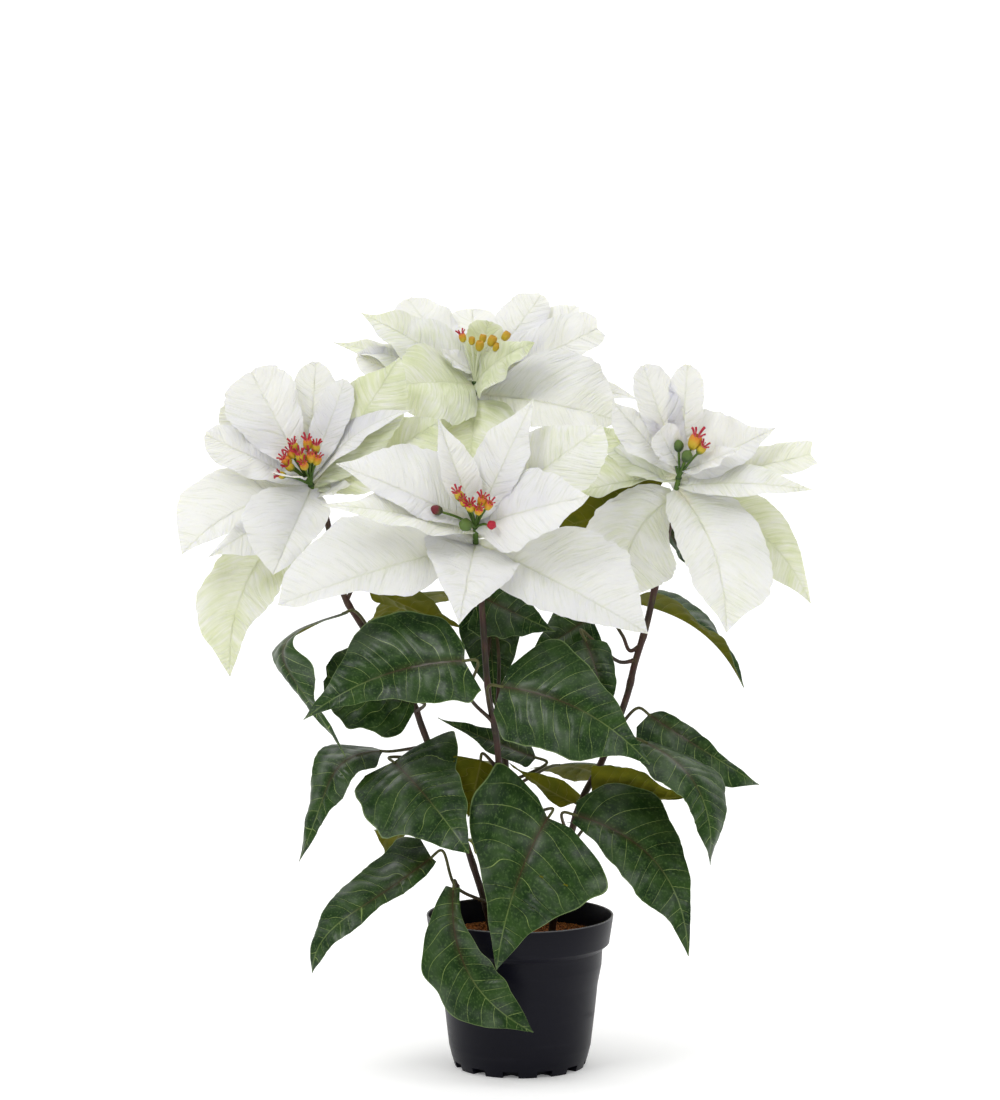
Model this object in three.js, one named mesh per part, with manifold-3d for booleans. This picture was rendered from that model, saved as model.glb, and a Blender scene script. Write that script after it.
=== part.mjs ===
// A poinsettia in its nursery pot: four bloom heads of white and pale green bracts over dark green leaves.
// Millimetres, +Z up. The origin is the centre of the pot's foot, and the plant faces -Y.
//
// Every leaf and bract is a "blade": a thin curved sheet about a midrib. A row gives the midrib's two ends,
// the way its upper face looks, and the half widths on each side at nine stations from base to tip.

import * as THREE from 'three';
import { mergeVertices } from 'three/addons/utils/BufferGeometryUtils.js';
import Module from 'manifold-3d';

const wasm = await Module();
wasm.setup();

// ---- driving dimensions ----------------------------------------------------------------------------------

const POT_HEIGHT = 98;
const POT_RIM_RADIUS = 60;
const POT_FOOT_RADIUS = 41.8;
const POT_WALL = 1.3;
const POT_SIDES = 28;
const FLOOR_UNDERSIDE = 5;
const FLOOR_THICKNESS = 1.5;
const PAD_RADIUS = 18;
const PAD_SLOPE = 1.5;
const FOOT_RING_INNER = 37;
const NOTCH_COUNT = 12;
const NOTCH_SIZE = { wide: 10, high: 4.3, deep: 10 };
const NOTCH_TURN = THREE.MathUtils.degToRad(-8.4);
const DRAIN_COUNT = 6;
const DRAIN_RADIUS = 3.5;
const DRAIN_RING_RADIUS = 27;

const SOIL_LEVEL = 83;
const SOIL_CROWN = 2;
const STEM_DEPTH_LEVEL = 25;
const STEM_SIDES = 6;
const STEM_STEPS = 18;
const GAP = 0.35;
const HOLE_DRAFT = 0.2;

const BLADE_THICKNESS = 0.7;
const NARROWEST = 0.5;
const LARGE_BRACT = 32;
const SMALL_LEAF = 17;
const HUB_LENGTH = 28;
const HUB_TOP_RADIUS = 4.2;
const HUB_NECK_RADIUS = 2.8;
const NECK_RUN = 8;
const PETIOLE_RADIUS = 1.15;
const PETIOLE_GAP = 0.7;
const CUSHION = { top: 2.8, bottom: 3.4, height: 2.4 };
const STALK_RADIUS = 0.9;

// ---- blades: shares of the half width at nine stations along the length -----------------------------------

const STATIONS = [0, 0.12, 0.25, 0.38, 0.5, 0.62, 0.75, 0.88, 1];
const OVATE = [0.07, 0.52, 0.86, 1, 0.96, 0.8, 0.52, 0.22, 0];
const BLUNT = [0.07, 0.42, 0.7, 0.88, 0.98, 1, 0.95, 0.74, 0.14];
const HEART = [0.06, 1, 0.97, 0.87, 0.74, 0.52, 0.28, 0.13, 0];

const widths = (half, shares) => shares.map((share) => half * share);
const BRACT_SWEEP = [0, 0, 0.35];
const LEAF_SWEEP = [-0.2, -0.2, 0.35];

// ---- stems: points from the soil up, in millimetres; each ends under its bloom ----------------------------

const STEMS = {
  front: {
    radius: 2.2,
    points: [[-8, -12, STEM_DEPTH_LEVEL], [-8, -12, 83], [-13, -25, 185], [-15, -35, 217], [-20, -42, 246],
      [-25, -45, 312]],
  },
  left: {
    radius: 2.3,
    points: [[-18, 2, STEM_DEPTH_LEVEL], [-18, 2, 83], [-30, -2, 130], [-63, -8, 222], [-68, -8, 236],
      [-103, -5, 289], [-112, -5, 305]],
  },
  back: {
    radius: 2.4,
    points: [[0, 15, STEM_DEPTH_LEVEL], [0, 15, 83], [-9, 15, 185], [-12, 40, 250], [-20, 60, 330]],
  },
  right: {
    radius: 2.4,
    points: [[20, -2, STEM_DEPTH_LEVEL], [20, -2, 83], [38, -8, 170], [51, -8, 196], [68, -5, 240],
      [73, 0, 260], [80, 5, 282], [86, 8, 308]],
  },
};

// ---- blooms: bract rows are [where on the hub, tip, upper face, left widths, right widths, more] ----------
// The tip and the cyathia heads are measured from the bloom's centre, which is the top of its hub.

const BLOOMS = {
  front: {
    centre: [-28, -62, 362],
    axis: [0, -0.6, 0.8],
    bracts: [
      [-24, [-10, -34, -64], [0, -1, 0.35], [2, 6, 22, 30, 28, 20, 12, 5, 0],
        [2, 16, 27, 31, 29, 21, 12, 5, 0], { bow: 9, sweep: [-0.6, -1.1, 0.2] }],
      [-24, [107, -10, -73], [0.15, -0.95, 0.35], [3, 10, 26, 36, 40, 38, 27, 12, 0],
        [3, 16, 22, 21, 20, 17, 11, 6, 0], { bow: 10 }],
      [-10, [70, -24, 14], [-0.1, -0.9, 0.45], [3, 12, 20, 25, 26, 22, 15, 7, 0],
        [3, 14, 25, 24, 21, 18, 13, 7, 0], { bow: 6 }],
      [-9, [79, 10, 55], [-0.3, -0.8, 0.5], widths(24, OVATE), [2, 12, 22, 27, 30, 30, 26, 17, 0],
        { bow: 4 }],
      [-6, [36, 5, 72], [-0.4, -0.8, 0.2], widths(20, OVATE), widths(16, OVATE), { bow: 2 }],
      [-4, [-23, -2, 60], [0.3, -0.9, 0.3], widths(13, OVATE), widths(12, OVATE), { fold: 0.25 }],
      [-8, [-86, -12, 33], [0.1, -0.9, 0.5], widths(13, OVATE), widths(32, OVATE), { bow: 5 }],
      [-14, [-94, -28, 9], [0, -0.6, 0.8], widths(17, OVATE), widths(17, OVATE), { bow: 6 }],
      [-24, [-122, -20, -54], [-0.1, -0.9, 0.45], [3, 9, 18, 24, 17, 9, 8, 7, 0],
        [3, 14, 30, 39, 39, 35, 27, 17, 0], { bow: 8 }],
      [-14, [-6, 60, 32], [0, -0.3, 0.95], widths(20, OVATE), widths(20, OVATE), { bow: 4 }],
      [-20, [34, 50, 2], [0.1, -0.2, 0.97], widths(19, OVATE), widths(19, OVATE), { bow: 4 }],
      [-20, [-42, 46, 6], [-0.1, -0.2, 0.97], widths(19, OVATE), widths(19, OVATE), { bow: 4 }],
    ],
    heads: [[-10, -9, 13, 3], [4, -10, 10, 3], [-3, -12, 6, 3], [7, -10, 6, 2.8], [-7, -11, -6, 5],
      [-24, -9, 4, 3.6], [10, -12, -5, 2.9]],
  },
  left: {
    centre: [-136, -12, 384],
    axis: [-0.35, -0.42, 0.84],
    bracts: [
      [-4, [-34, 10, 62], [0.1, -0.9, 0.4], [2, 8, 14, 20, 24, 27, 26, 19, 3],
        [2, 4, 8, 13, 17, 20, 21, 17, 4], {}],
      [-6, [6, 28, 67], [0, -0.8, 0.5], widths(14, BLUNT), widths(14, BLUNT), {}],
      [-9, [-52, 14, 40], [0.2, -0.8, 0.5], widths(15, BLUNT), widths(14, BLUNT), {}],
      [-5, [25, 12, 57], [-0.2, -0.9, 0.3], widths(11, BLUNT), widths(12, BLUNT), {}],
      [-8, [-62, -6, 24], [0.1, -0.85, 0.5], widths(15, BLUNT), widths(14, BLUNT), {}],
      [-16, [-76, -28, -49], [-0.3, -0.85, 0.45], [3, 10, 16, 18, 18, 14, 9, 4, 0],
        [3, 12, 19, 27, 31, 32, 26, 12, 0], { sway: 8, bow: 8 }],
      [-18, [-59, -34, -50], [0, -0.95, 0.3], [6, 12, 16, 19, 20, 17, 11, 4, 0],
        [3, 6, 9, 12, 12, 9, 6, 3, 0], { bow: 6 }],
      [-12, [-18, -44, -60], [0.1, -0.97, 0.2], [4, 12, 17, 17, 15, 12, 9, 5, 0],
        [4, 14, 24, 30, 33, 32, 24, 12, 0], { bow: 4, fold: 0.2 }],
      [-24, [-47, -18, -128], [-0.3, -0.95, 0.2], [4, 18, 22, 22, 23, 18, 10, 6, 0],
        [4, 10, 16, 21, 25, 27, 22, 9, 0], { sway: 18, bow: 4 }],
      [-8, [67, -12, 40], [-0.3, -0.6, 0.75], widths(13, OVATE), widths(12, OVATE), { sway: -9, bow: 4 }],
      [-3, [-20, -26, 3], [0, -0.3, 0.95], widths(9, OVATE), widths(9, OVATE), {}],
      [-12, [60, 8, 72], [-0.3, -0.85, 0.4], widths(24, OVATE), widths(26, OVATE), {}],
      [-14, [82, 4, 34], [-0.2, -0.8, 0.6], widths(14, OVATE), [2, 10, 18, 23, 26, 27, 24, 15, 0], {}],
      [-16, [30, -12, -6], [0.2, -0.6, 0.8], widths(9, OVATE), widths(9, OVATE), {}],
      [-14, [-8, 60, 28], [0, -0.3, 0.95], widths(19, OVATE), widths(19, OVATE), { bow: 4 }],
      [-20, [-30, 52, -22], [-0.2, -0.1, 0.97], widths(19, OVATE), widths(19, OVATE), { bow: 4 }],
    ],
    heads: [[-11, -10, 8, 3], [-6, -7, 16, 2.8], [2, -6, 18, 3], [7, -5, 15, 2.8], [-2, -10, 10, 3.2],
      [4, -9, 10, 3], [-14, -12, -1, 2.4]],
  },
  back: {
    centre: [-29, 60, 445],
    axis: [0, -0.15, 0.99],
    bracts: [
      [-12, [-92, 22, 14], [0.1, -0.5, 0.85], widths(16, OVATE), widths(16, OVATE), { bow: 5 }],
      [-8, [-74, 26, 33], [0.3, -0.7, 0.6], widths(19, OVATE), widths(23, OVATE), { bow: 4 }],
      [-8, [-44, 55, 40], [0.2, -0.75, 0.6], widths(19, BLUNT), widths(18, BLUNT), {}],
      [-6, [-2, 62, 33], [0, -0.6, 0.8], widths(18, BLUNT), widths(18, BLUNT), {}],
      [-8, [43, 50, 43], [-0.2, -0.75, 0.6], widths(18, BLUNT), widths(15, BLUNT), {}],
      [-9, [66, 42, 36], [-0.3, -0.5, 0.8], widths(17, BLUNT), widths(15, BLUNT), {}],
      [-11, [79, 8, 24], [-0.2, -0.75, 0.65], [1, 9, 16, 20, 22, 23, 22, 19, 8],
        [1, 6, 9, 11, 13, 14, 15, 14, 8], {}],
      [-18, [92, -26, -33], [-0.1, -0.85, 0.5], [3, 14, 26, 35, 38, 36, 29, 15, 0],
        [3, 8, 12, 13, 13, 12, 9, 5, 0], { bow: 9 }],
      [-12, [-56, -48, -10], [0.1, -0.8, 0.6], widths(34, OVATE), widths(28, OVATE), { bow: 6 }],
      [-10, [38, -36, 18], [-0.3, -0.7, 0.65], [3, 9, 12, 12, 11, 9, 7, 4, 0],
        [4, 18, 24, 24, 20, 16, 12, 7, 0], { bow: 6 }],
      [-20, [-3, -46, -69], [0, -0.9, 0.4], widths(29, OVATE), widths(29, OVATE), { bow: 12 }],
      [-20, [-76, 8, 6], [0, -0.75, 0.65], widths(15, BLUNT), widths(16, BLUNT), {}],
      [-22, [110, 14, -24], [0.1, -0.5, 0.85], widths(18, OVATE), widths(16, OVATE), { bow: 13 }],
      [-3, [9, 15, 28], [0, -0.9, 0.3], widths(12, BLUNT), widths(12, BLUNT), {}],
      [-3, [-22, -8, 13], [0.3, -0.6, 0.7], widths(8, OVATE), widths(8, OVATE), {}],
    ],
    heads: [[-8, -4, 19, 2.8], [3, -6, 14, 2.8], [11, -4, 17, 3], [20, -2, 20, 2.6], [5, 3, 18, 2.4]],
  },
  right: {
    centre: [102, -5, 389],
    axis: [0.15, -0.35, 0.92],
    bracts: [
      [-4, [-24, 6, 61], [0.3, -0.9, 0.2], widths(13, BLUNT), widths(15, BLUNT), {}],
      [-5, [4, 12, 61], [0, -0.95, 0.2], widths(11, BLUNT), widths(12, BLUNT), {}],
      [-7, [59, 0, 22], [-0.2, -0.9, 0.4], [1, 14, 27, 31, 27, 18, 9, 4, 0], widths(14, OVATE), {}],
      [-5, [36, -20, 12], [0, -0.7, 0.7], widths(9, OVATE), widths(9, OVATE), {}],
      [-13, [82, 6, 5], [0, -0.75, 0.65], [1, 5, 8, 10, 12, 13, 13, 12, 9],
        [1, 5, 8, 10, 11, 12, 12, 11, 8], {}],
      [-16, [82, -22, -15], [0, -0.7, 0.7], widths(14, OVATE), widths(13, OVATE), { bow: 6 }],
      [-22, [82, -6, -89], [0.35, -0.85, 0.4], [4, 15, 20, 20, 19, 16, 10, 4, 0],
        [4, 12, 16, 19, 20, 19, 15, 7, 0], { sway: -15, bow: 5 }],
      [-18, [27, -40, -103], [0.1, -0.97, 0.2], [5, 17, 28, 31, 33, 33, 28, 11, 0],
        [8, 16, 19, 21, 20, 19, 14, 6, 0], { sway: -8, bow: 10 }],
      [-24, [-36, -12, -88], [-0.1, -0.97, 0.2], [3, 10, 18, 28, 32, 32, 25, 12, 0],
        [6, 18, 24, 28, 30, 30, 22, 10, 0], { sway: 12, bow: 6 }],
      [-8, [-44, -8, 40], [0.2, -0.85, 0.5], [1, 5, 9, 13, 16, 17, 13, 6, 0], widths(13, OVATE), {}],
      [-9, [-66, 10, -20], [0.1, -0.85, 0.5], [1, 2, 2, 3, 4, 6, 7, 4, 0], widths(24, OVATE), { bow: 6 }],
      [-12, [-53, 20, 22], [0.2, -0.8, 0.6], widths(18, OVATE), widths(18, OVATE), {}],
      [-2, [-14, -14, 22], [0.2, -0.9, 0.3], widths(11, BLUNT), widths(11, BLUNT), {}],
      [-14, [8, 60, 26], [0, -0.3, 0.95], widths(19, OVATE), widths(19, OVATE), { bow: 4 }],
      [-20, [28, 52, -24], [0.2, -0.1, 0.97], widths(19, OVATE), widths(19, OVATE), { bow: 4 }],
    ],
    heads: [[6, -6, 12, 5], [-9, -3, 16, 3.2], [-2, -3, 13, 3.4], [3, -9, 5, 3.6]],
  },
};

// ---- leaves: on which stem, at what height their petiole leaves it, and the blade -------------------------

const LEAVES = [
  { name: 'leaf_left_folded', stem: 'left', joint: 262, base: [-111, -25, 296], tip: [-110, -45, 207],
    face: [-0.85, -0.6, 0.15], left: [3, 5, 10, 18, 17, 7, 3, 2, 0], right: widths(19, HEART), bow: 20,
    rise: 32, fold: -0.3 },
  { name: 'leaf_left_large', stem: 'front', joint: 228, via: [[-32, -52, 247]], base: [-35, -72, 272],
    tip: [-135, -72, 235], face: [0, -0.85, 0.5], left: [20, 28, 27, 23, 18, 13, 8, 4, 0],
    right: [10, 30, 37, 37, 34, 21, 10, 5, 0], sway: 10, sweep: [-0.6, 0, 0.3] },
  { name: 'leaf_left_behind', stem: 'left', joint: 230, base: [-67, -25, 240], tip: [-122, -29, 256],
    face: [0, -0.85, 0.5], left: [8, 24, 28, 28, 28, 26, 22, 15, 4],
    right: [6, 18, 23, 25, 26, 26, 24, 17, 6] },
  { name: 'leaf_under_front_bloom', stem: 'left', joint: 300, base: [-97, 5, 309], tip: [-38, -10, 285],
    face: [0, 0.6, 0.8], left: widths(14, HEART), right: widths(32, HEART) },
  { name: 'leaf_neck_front', stem: 'front', joint: 226, via: [[-14, -36, 246], [-16, -24, 285]],
    base: [-24, -25, 306], tip: [22, -40, 286], face: [0, -0.85, 0.5], left: widths(16, HEART),
    right: widths(24, HEART) },
  { name: 'leaf_neck_hanging', stem: 'front', joint: 262, via: [[-20, -27, 276]],
    base: [-20, -15, 300], tip: [-16, -25, 236], face: [0, -1, 0.1],
    left: widths(20, HEART), right: widths(20, HEART) },
  { name: 'leaf_centre_large', stem: 'front', joint: 230, base: [-12, -60, 254], tip: [80, -86, 209],
    face: [0, -0.85, 0.5], left: [14, 40, 33, 27, 21, 15, 8, 4, 0], right: [18, 35, 35, 35, 33, 28, 17, 7, 0],
    sway: -9, bow: 6, sweep: [0.2, -0.1, 0.3] },
  { name: 'leaf_centre_behind', stem: 'right', joint: 262, base: [41, -25, 279], tip: [56, -42, 225],
    face: [0.3, -0.9, 0.3], left: widths(14, HEART), right: widths(22, HEART), bow: 6 },
  { name: 'leaf_centre_back', stem: 'right', joint: 270, base: [45, 5, 290], tip: [5, 10, 262],
    face: [0, -0.8, 0.6], left: widths(20, HEART), right: widths(20, HEART) },
  { name: 'leaf_right_arching', stem: 'right', joint: 280, base: [78, 37, 294], tip: [144, 24, 241],
    face: [0.5, 0, 0.86], left: widths(24, HEART), right: [14, 26, 22, 18, 16, 12, 7, 3, 0], bow: 12,
    fold: 0.4 },
  { name: 'leaf_right_behind', stem: 'right', joint: 213, base: [82, -5, 228], tip: [152, -12, 184],
    face: [0.25, -0.85, 0.5], left: widths(9, HEART), right: [12, 26, 27, 26, 24, 20, 14, 7, 0] },
  { name: 'leaf_right_hanging', stem: 'right', joint: 205, base: [79, -35, 215], tip: [119, -60, 141],
    face: [0.6, -0.6, 0.5], left: [6, 18, 27, 31, 30, 25, 16, 7, 0],
    right: [10, 18, 21, 20, 16, 14, 10, 5, 0], bow: 22, fold: -0.2 },
  { name: 'leaf_right_turned', stem: 'right', joint: 168, base: [46, -13, 176], tip: [107, -23, 178],
    face: [0, 0.9, 0.4], left: widths(8, HEART), right: widths(26, HEART) },
  { name: 'leaf_middle_turned', stem: 'right', joint: 160, base: [35, -20, 174], tip: [-7, -30, 201],
    face: [0, 0.5, 0.85], left: widths(14, HEART), right: widths(12, HEART) },
  { name: 'leaf_middle_narrow', stem: 'front', joint: 185, base: [10, -15, 202], tip: [-52, -25, 229],
    face: [0, -0.6, 0.8], left: widths(12, HEART), right: widths(11, HEART) },
  { name: 'leaf_middle_small', stem: 'front', joint: 196, base: [-25, -27, 202], tip: [-33, -42, 168],
    face: [0, 0.8, 0.3], left: widths(17, HEART), right: widths(10, HEART) },
  { name: 'leaf_left_middle', stem: 'left', joint: 195, base: [-80, -20, 200], tip: [-32, -85, 153],
    face: [-0.2, -0.6, 0.75], left: [16, 43, 35, 27, 23, 19, 12, 6, 0],
    right: [20, 34, 36, 38, 37, 27, 17, 9, 0], bow: 8 },
  { name: 'leaf_front_lowest', stem: 'front', joint: 150, base: [17, -60, 171], tip: [-15, -84, 79],
    face: [0, -1, 0.3], left: [16, 44, 52, 47, 35, 24, 14, 7, 0], right: [12, 44, 48, 38, 25, 15, 9, 4, 0],
    sway: 5, bow: 8, sweep: [-0.12, -0.75, 0.3], under: 2.4 },
  { name: 'leaf_left_low', stem: 'front', joint: 97, via: [[-21, -33, 112], [-41, -46, 125]],
    base: [-56, -50, 144], tip: [-131, -60, 72], face: [-0.35, -0.75, 0.6],
    left: [4, 7, 8, 9, 10, 10, 9, 6, 0], right: [20, 35, 32, 27, 23, 18, 12, 6, 0], bow: 7, hook: 15,
    fold: -0.25 },
  { name: 'leaf_over_pot', stem: 'front', joint: [-40, -45, 124.5], base: [-42, -58, 126], tip: [8, -78, 38],
    face: [-0.2, -1, 0.1], left: [4, 5, 9, 13, 16, 17, 14, 8, 0], right: [5, 12, 20, 26, 23, 24, 15, 5, 0],
    sway: 17, bow: 6 },
  { name: 'leaf_right_low', stem: 'right', joint: 145, base: [35, -45, 170], tip: [105, -75, 86],
    face: [0.3, -0.8, 0.5], left: [10, 30, 36, 28, 21, 13, 7, 3, 0], right: [6, 12, 20, 24, 26, 23, 14, 7, 0],
    sway: -20, bow: 8 },
  { name: 'leaf_left_curled', stem: 'left', joint: 208, base: [-88, 0, 204], tip: [-141, -10, 134],
    face: [-0.5, -0.7, 0.5], left: widths(15, HEART), right: [12, 31, 31, 26, 20, 14, 8, 4, 0], bow: 11,
    rise: 17, fold: -0.3 },
  { name: 'leaf_under_right_bloom', stem: 'right', joint: 345, base: [86, 24, 365], tip: [30, 12, 345],
    face: [0, 0.85, 0.5], left: widths(17, HEART), right: widths(17, HEART) },
  { name: 'leaf_right_neck', stem: 'right', joint: 335, base: [94, 18, 345], tip: [118, 27, 311],
    face: [0.3, -0.6, 0.7], left: widths(14, HEART), right: widths(8, HEART) },
  { name: 'leaf_back_upper_left', stem: 'back', joint: 285, base: [-45, 50, 300], tip: [-105, 95, 262],
    face: [-0.3, 0.4, 0.85], left: widths(28, HEART), right: widths(28, HEART), bow: 8 },
  { name: 'leaf_back_upper_right', stem: 'back', joint: 300, base: [10, 60, 315], tip: [50, 110, 265],
    face: [0.3, 0.5, 0.8], left: widths(28, HEART), right: widths(28, HEART), bow: 8 },
  { name: 'leaf_back_middle_left', stem: 'back', joint: 175, base: [-30, 45, 190], tip: [-75, 110, 148],
    face: [-0.2, 0.5, 0.8], left: widths(30, HEART), right: widths(30, HEART), bow: 10 },
  { name: 'leaf_back_middle_right', stem: 'back', joint: 172, base: [25, 42, 188], tip: [78, 102, 148],
    face: [0.2, 0.5, 0.8], left: widths(30, HEART), right: widths(30, HEART), bow: 10 },
  { name: 'leaf_back_low', stem: 'back', joint: 120, base: [0, 40, 140], tip: [-8, 112, 88],
    face: [0, 0.6, 0.8], left: widths(32, HEART), right: widths(32, HEART), bow: 10 },
  { name: 'leaf_back_low_left', stem: 'left', joint: 140, base: [-60, 32, 162], tip: [-88, 98, 112],
    face: [-0.4, 0.5, 0.75], left: widths(26, HEART), right: widths(26, HEART), bow: 8 },
  { name: 'leaf_back_low_right', stem: 'right', joint: 130, base: [48, 28, 150], tip: [98, 90, 108],
    face: [0.4, 0.5, 0.75], left: widths(28, HEART), right: widths(28, HEART), bow: 8 },
];

// ---- materials --------------------------------------------------------------------------------------------

const finish = (color, roughness) => new THREE.MeshStandardMaterial({ color, roughness, metalness: 0 });
const MATERIALS = {
  pot: finish(0x17181c, 0.45),
  soil: finish(0x6b3f26, 0.95),
  stem: finish(0x4a241f, 0.6),
  leaf: finish(0x234a26, 0.55),
  bract: finish(0xf0f1e6, 0.7),
  cyathia: finish(0xb9902c, 0.6),
};

// ---- solids -----------------------------------------------------------------------------------------------

const vector = (point) => new THREE.Vector3(...point);

function asSolid(geometry) {
  geometry.deleteAttribute('normal');
  geometry.deleteAttribute('uv');
  const merged = mergeVertices(geometry, 1e-4);
  return new wasm.Manifold(new wasm.Mesh({
    numProp: 3,
    vertProperties: new Float32Array(merged.attributes.position.array),
    triVerts: new Uint32Array(merged.index.array),
  }));
}

function asMesh(name, solid, material) {
  const { vertProperties, triVerts } = solid.getMesh();
  const geometry = new THREE.BufferGeometry();
  geometry.setAttribute('position', new THREE.BufferAttribute(vertProperties, 3));
  geometry.setIndex(new THREE.BufferAttribute(triVerts, 1));
  const mesh = new THREE.Mesh(geometry, material);
  mesh.name = name;
  return mesh;
}

const join = (solids) => solids.reduce((whole, solid) => whole.add(solid));

// A value at share t of the length, from nine station values, by a curve that never overshoots them.
function atStation(values, t) {
  const last = STATIONS.length - 1;
  const rise = (i) => (values[i + 1] - values[i]) / (STATIONS[i + 1] - STATIONS[i]);
  const slope = (i) => {
    if (i === 0) return rise(0);
    if (i === last) return rise(last - 1);
    const [before, after] = [rise(i - 1), rise(i)];
    return before * after <= 0 ? 0 : (2 * before * after) / (before + after);
  };
  let i = 0;
  while (i < last - 1 && t > STATIONS[i + 1]) i += 1;
  const step = STATIONS[i + 1] - STATIONS[i];
  const s = (t - STATIONS[i]) / step;
  const keep = (1 + 2 * s) * (1 - s) ** 2;
  const reach = s * s * (3 - 2 * s);
  return keep * values[i] + reach * values[i + 1]
    + step * (s * (1 - s) ** 2 * slope(i) - s * s * (1 - s) * slope(i + 1));
}

// The blade's middle surface: rows from base to tip, each from the left edge to the right edge.
// bow, rise and hook lift the midrib's middle, first and last third; sway moves it sideways.
function bladeSurface(blade, along, across) {
  const { bow = 0, rise = 0, hook = 0, sway = 0, fold = 0, sweep } = blade;
  const chord = vector(blade.tip).sub(vector(blade.base));
  const face = vector(blade.face);
  const ahead = chord.clone().normalize();
  const up = face.sub(ahead.clone().multiplyScalar(face.dot(ahead))).normalize();
  const aside = new THREE.Vector3().crossVectors(ahead, up);
  const peak = 2.37;
  const rows = [];
  for (let i = 0; i <= along; i += 1) {
    const t = i / along;
    const r = 1 - t;
    const lift = 4 * (bow * t * r + peak * (rise * t * r ** 3 + hook * t ** 3 * r));
    const liftSlope = 4 * (bow * (1 - 2 * t)
      + peak * (rise * (r ** 3 - 3 * t * r * r) + hook * (3 * t * t - 4 * t ** 3)));
    const centre = vector(blade.base).addScaledVector(chord, t).addScaledVector(up, lift)
      .addScaledVector(aside, 4 * sway * t * r);
    const tangent = chord.clone().addScaledVector(up, liftSlope)
      .addScaledVector(aside, 4 * sway * (1 - 2 * t)).normalize();
    const normal = up.clone().addScaledVector(tangent, -up.dot(tangent)).normalize();
    const side = new THREE.Vector3().crossVectors(tangent, normal);
    const row = [];
    for (let j = 0; j <= across; j += 1) {
      const u = (2 * j) / across - 1;
      const half = Math.max(NARROWEST, atStation(u > 0 ? blade.right : blade.left, t));
      const out = Math.abs(u) * half;
      const back = sweep[u > 0 ? 1 : 0];
      row.push(centre.clone().addScaledVector(side, u * half).addScaledVector(normal, fold * out)
        .addScaledVector(tangent, (back + (sweep[2] - back) * t) * out));
    }
    rows.push(row);
  }
  return rows;
}

// A closed sheet of even thickness about the surface, with the same diagonals on both faces.
function bladeSolid(blade, along, across) {
  const rows = bladeSurface(blade, along, across);
  const normals = rows.map((row, i) => row.map((point, j) => {
    const lengthwise = rows[Math.min(i + 1, along)][j].clone().sub(rows[Math.max(i - 1, 0)][j]);
    const crosswise = row[Math.min(j + 1, across)].clone().sub(row[Math.max(j - 1, 0)]);
    return crosswise.cross(lengthwise).normalize();
  }));
  const positions = [];
  for (const half of [BLADE_THICKNESS / 2, -BLADE_THICKNESS / 2]) {
    rows.forEach((row, i) => row.forEach((point, j) => {
      positions.push(...point.clone().addScaledVector(normals[i][j], half));
    }));
  }
  const stride = across + 1;
  const under = (along + 1) * stride;
  const faces = [];
  for (let i = 0; i < along; i += 1) {
    for (let j = 0; j < across; j += 1) {
      const [a, b] = [i * stride + j, i * stride + j + 1];
      const [c, d] = [a + stride, b + stride];
      faces.push(a, b, d, a, d, c);
      faces.push(under + a, under + d, under + b, under + a, under + c, under + d);
    }
  }
  const rim = [];
  for (let j = 0; j < across; j += 1) rim.push(j);
  for (let i = 0; i < along; i += 1) rim.push(i * stride + across);
  for (let j = across; j > 0; j -= 1) rim.push(along * stride + j);
  for (let i = along; i > 0; i -= 1) rim.push(i * stride);
  rim.forEach((a, k) => {
    const b = rim[(k + 1) % rim.length];
    faces.push(a, under + b, b, a, under + a, under + b);
  });
  const geometry = new THREE.BufferGeometry();
  geometry.setAttribute('position', new THREE.Float32BufferAttribute(positions, 3));
  geometry.setIndex(faces);
  return asSolid(geometry);
}

function tubeSolid(points, radius, sides, steps) {
  const section = new THREE.Shape();
  for (let k = 0; k < sides; k += 1) {
    const angle = (2 * Math.PI * k) / sides;
    const corner = [radius * Math.cos(angle), radius * Math.sin(angle)];
    if (k === 0) section.moveTo(...corner);
    else section.lineTo(...corner);
  }
  section.closePath();
  const path = new THREE.CatmullRomCurve3(points, false, 'centripetal');
  return asSolid(new THREE.ExtrudeGeometry(section, { steps, bevelEnabled: false, extrudePath: path }));
}

function latheSolid(profile, sides) {
  const points = profile.map(([radius, height]) => new THREE.Vector2(radius, height));
  const geometry = new THREE.LatheGeometry(points, sides);
  geometry.rotateX(Math.PI / 2);
  return asSolid(geometry);
}

// ---- the pot and its soil ---------------------------------------------------------------------------------

const FLOOR_TOP = FLOOR_UNDERSIDE + FLOOR_THICKNESS;
const POT_INSIDE = [[56.6, 84], [56, 81], [51.7, 77.5], [51.1, 66], [48.6, 53], [47.1, 38], [44.3, 14]];

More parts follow.
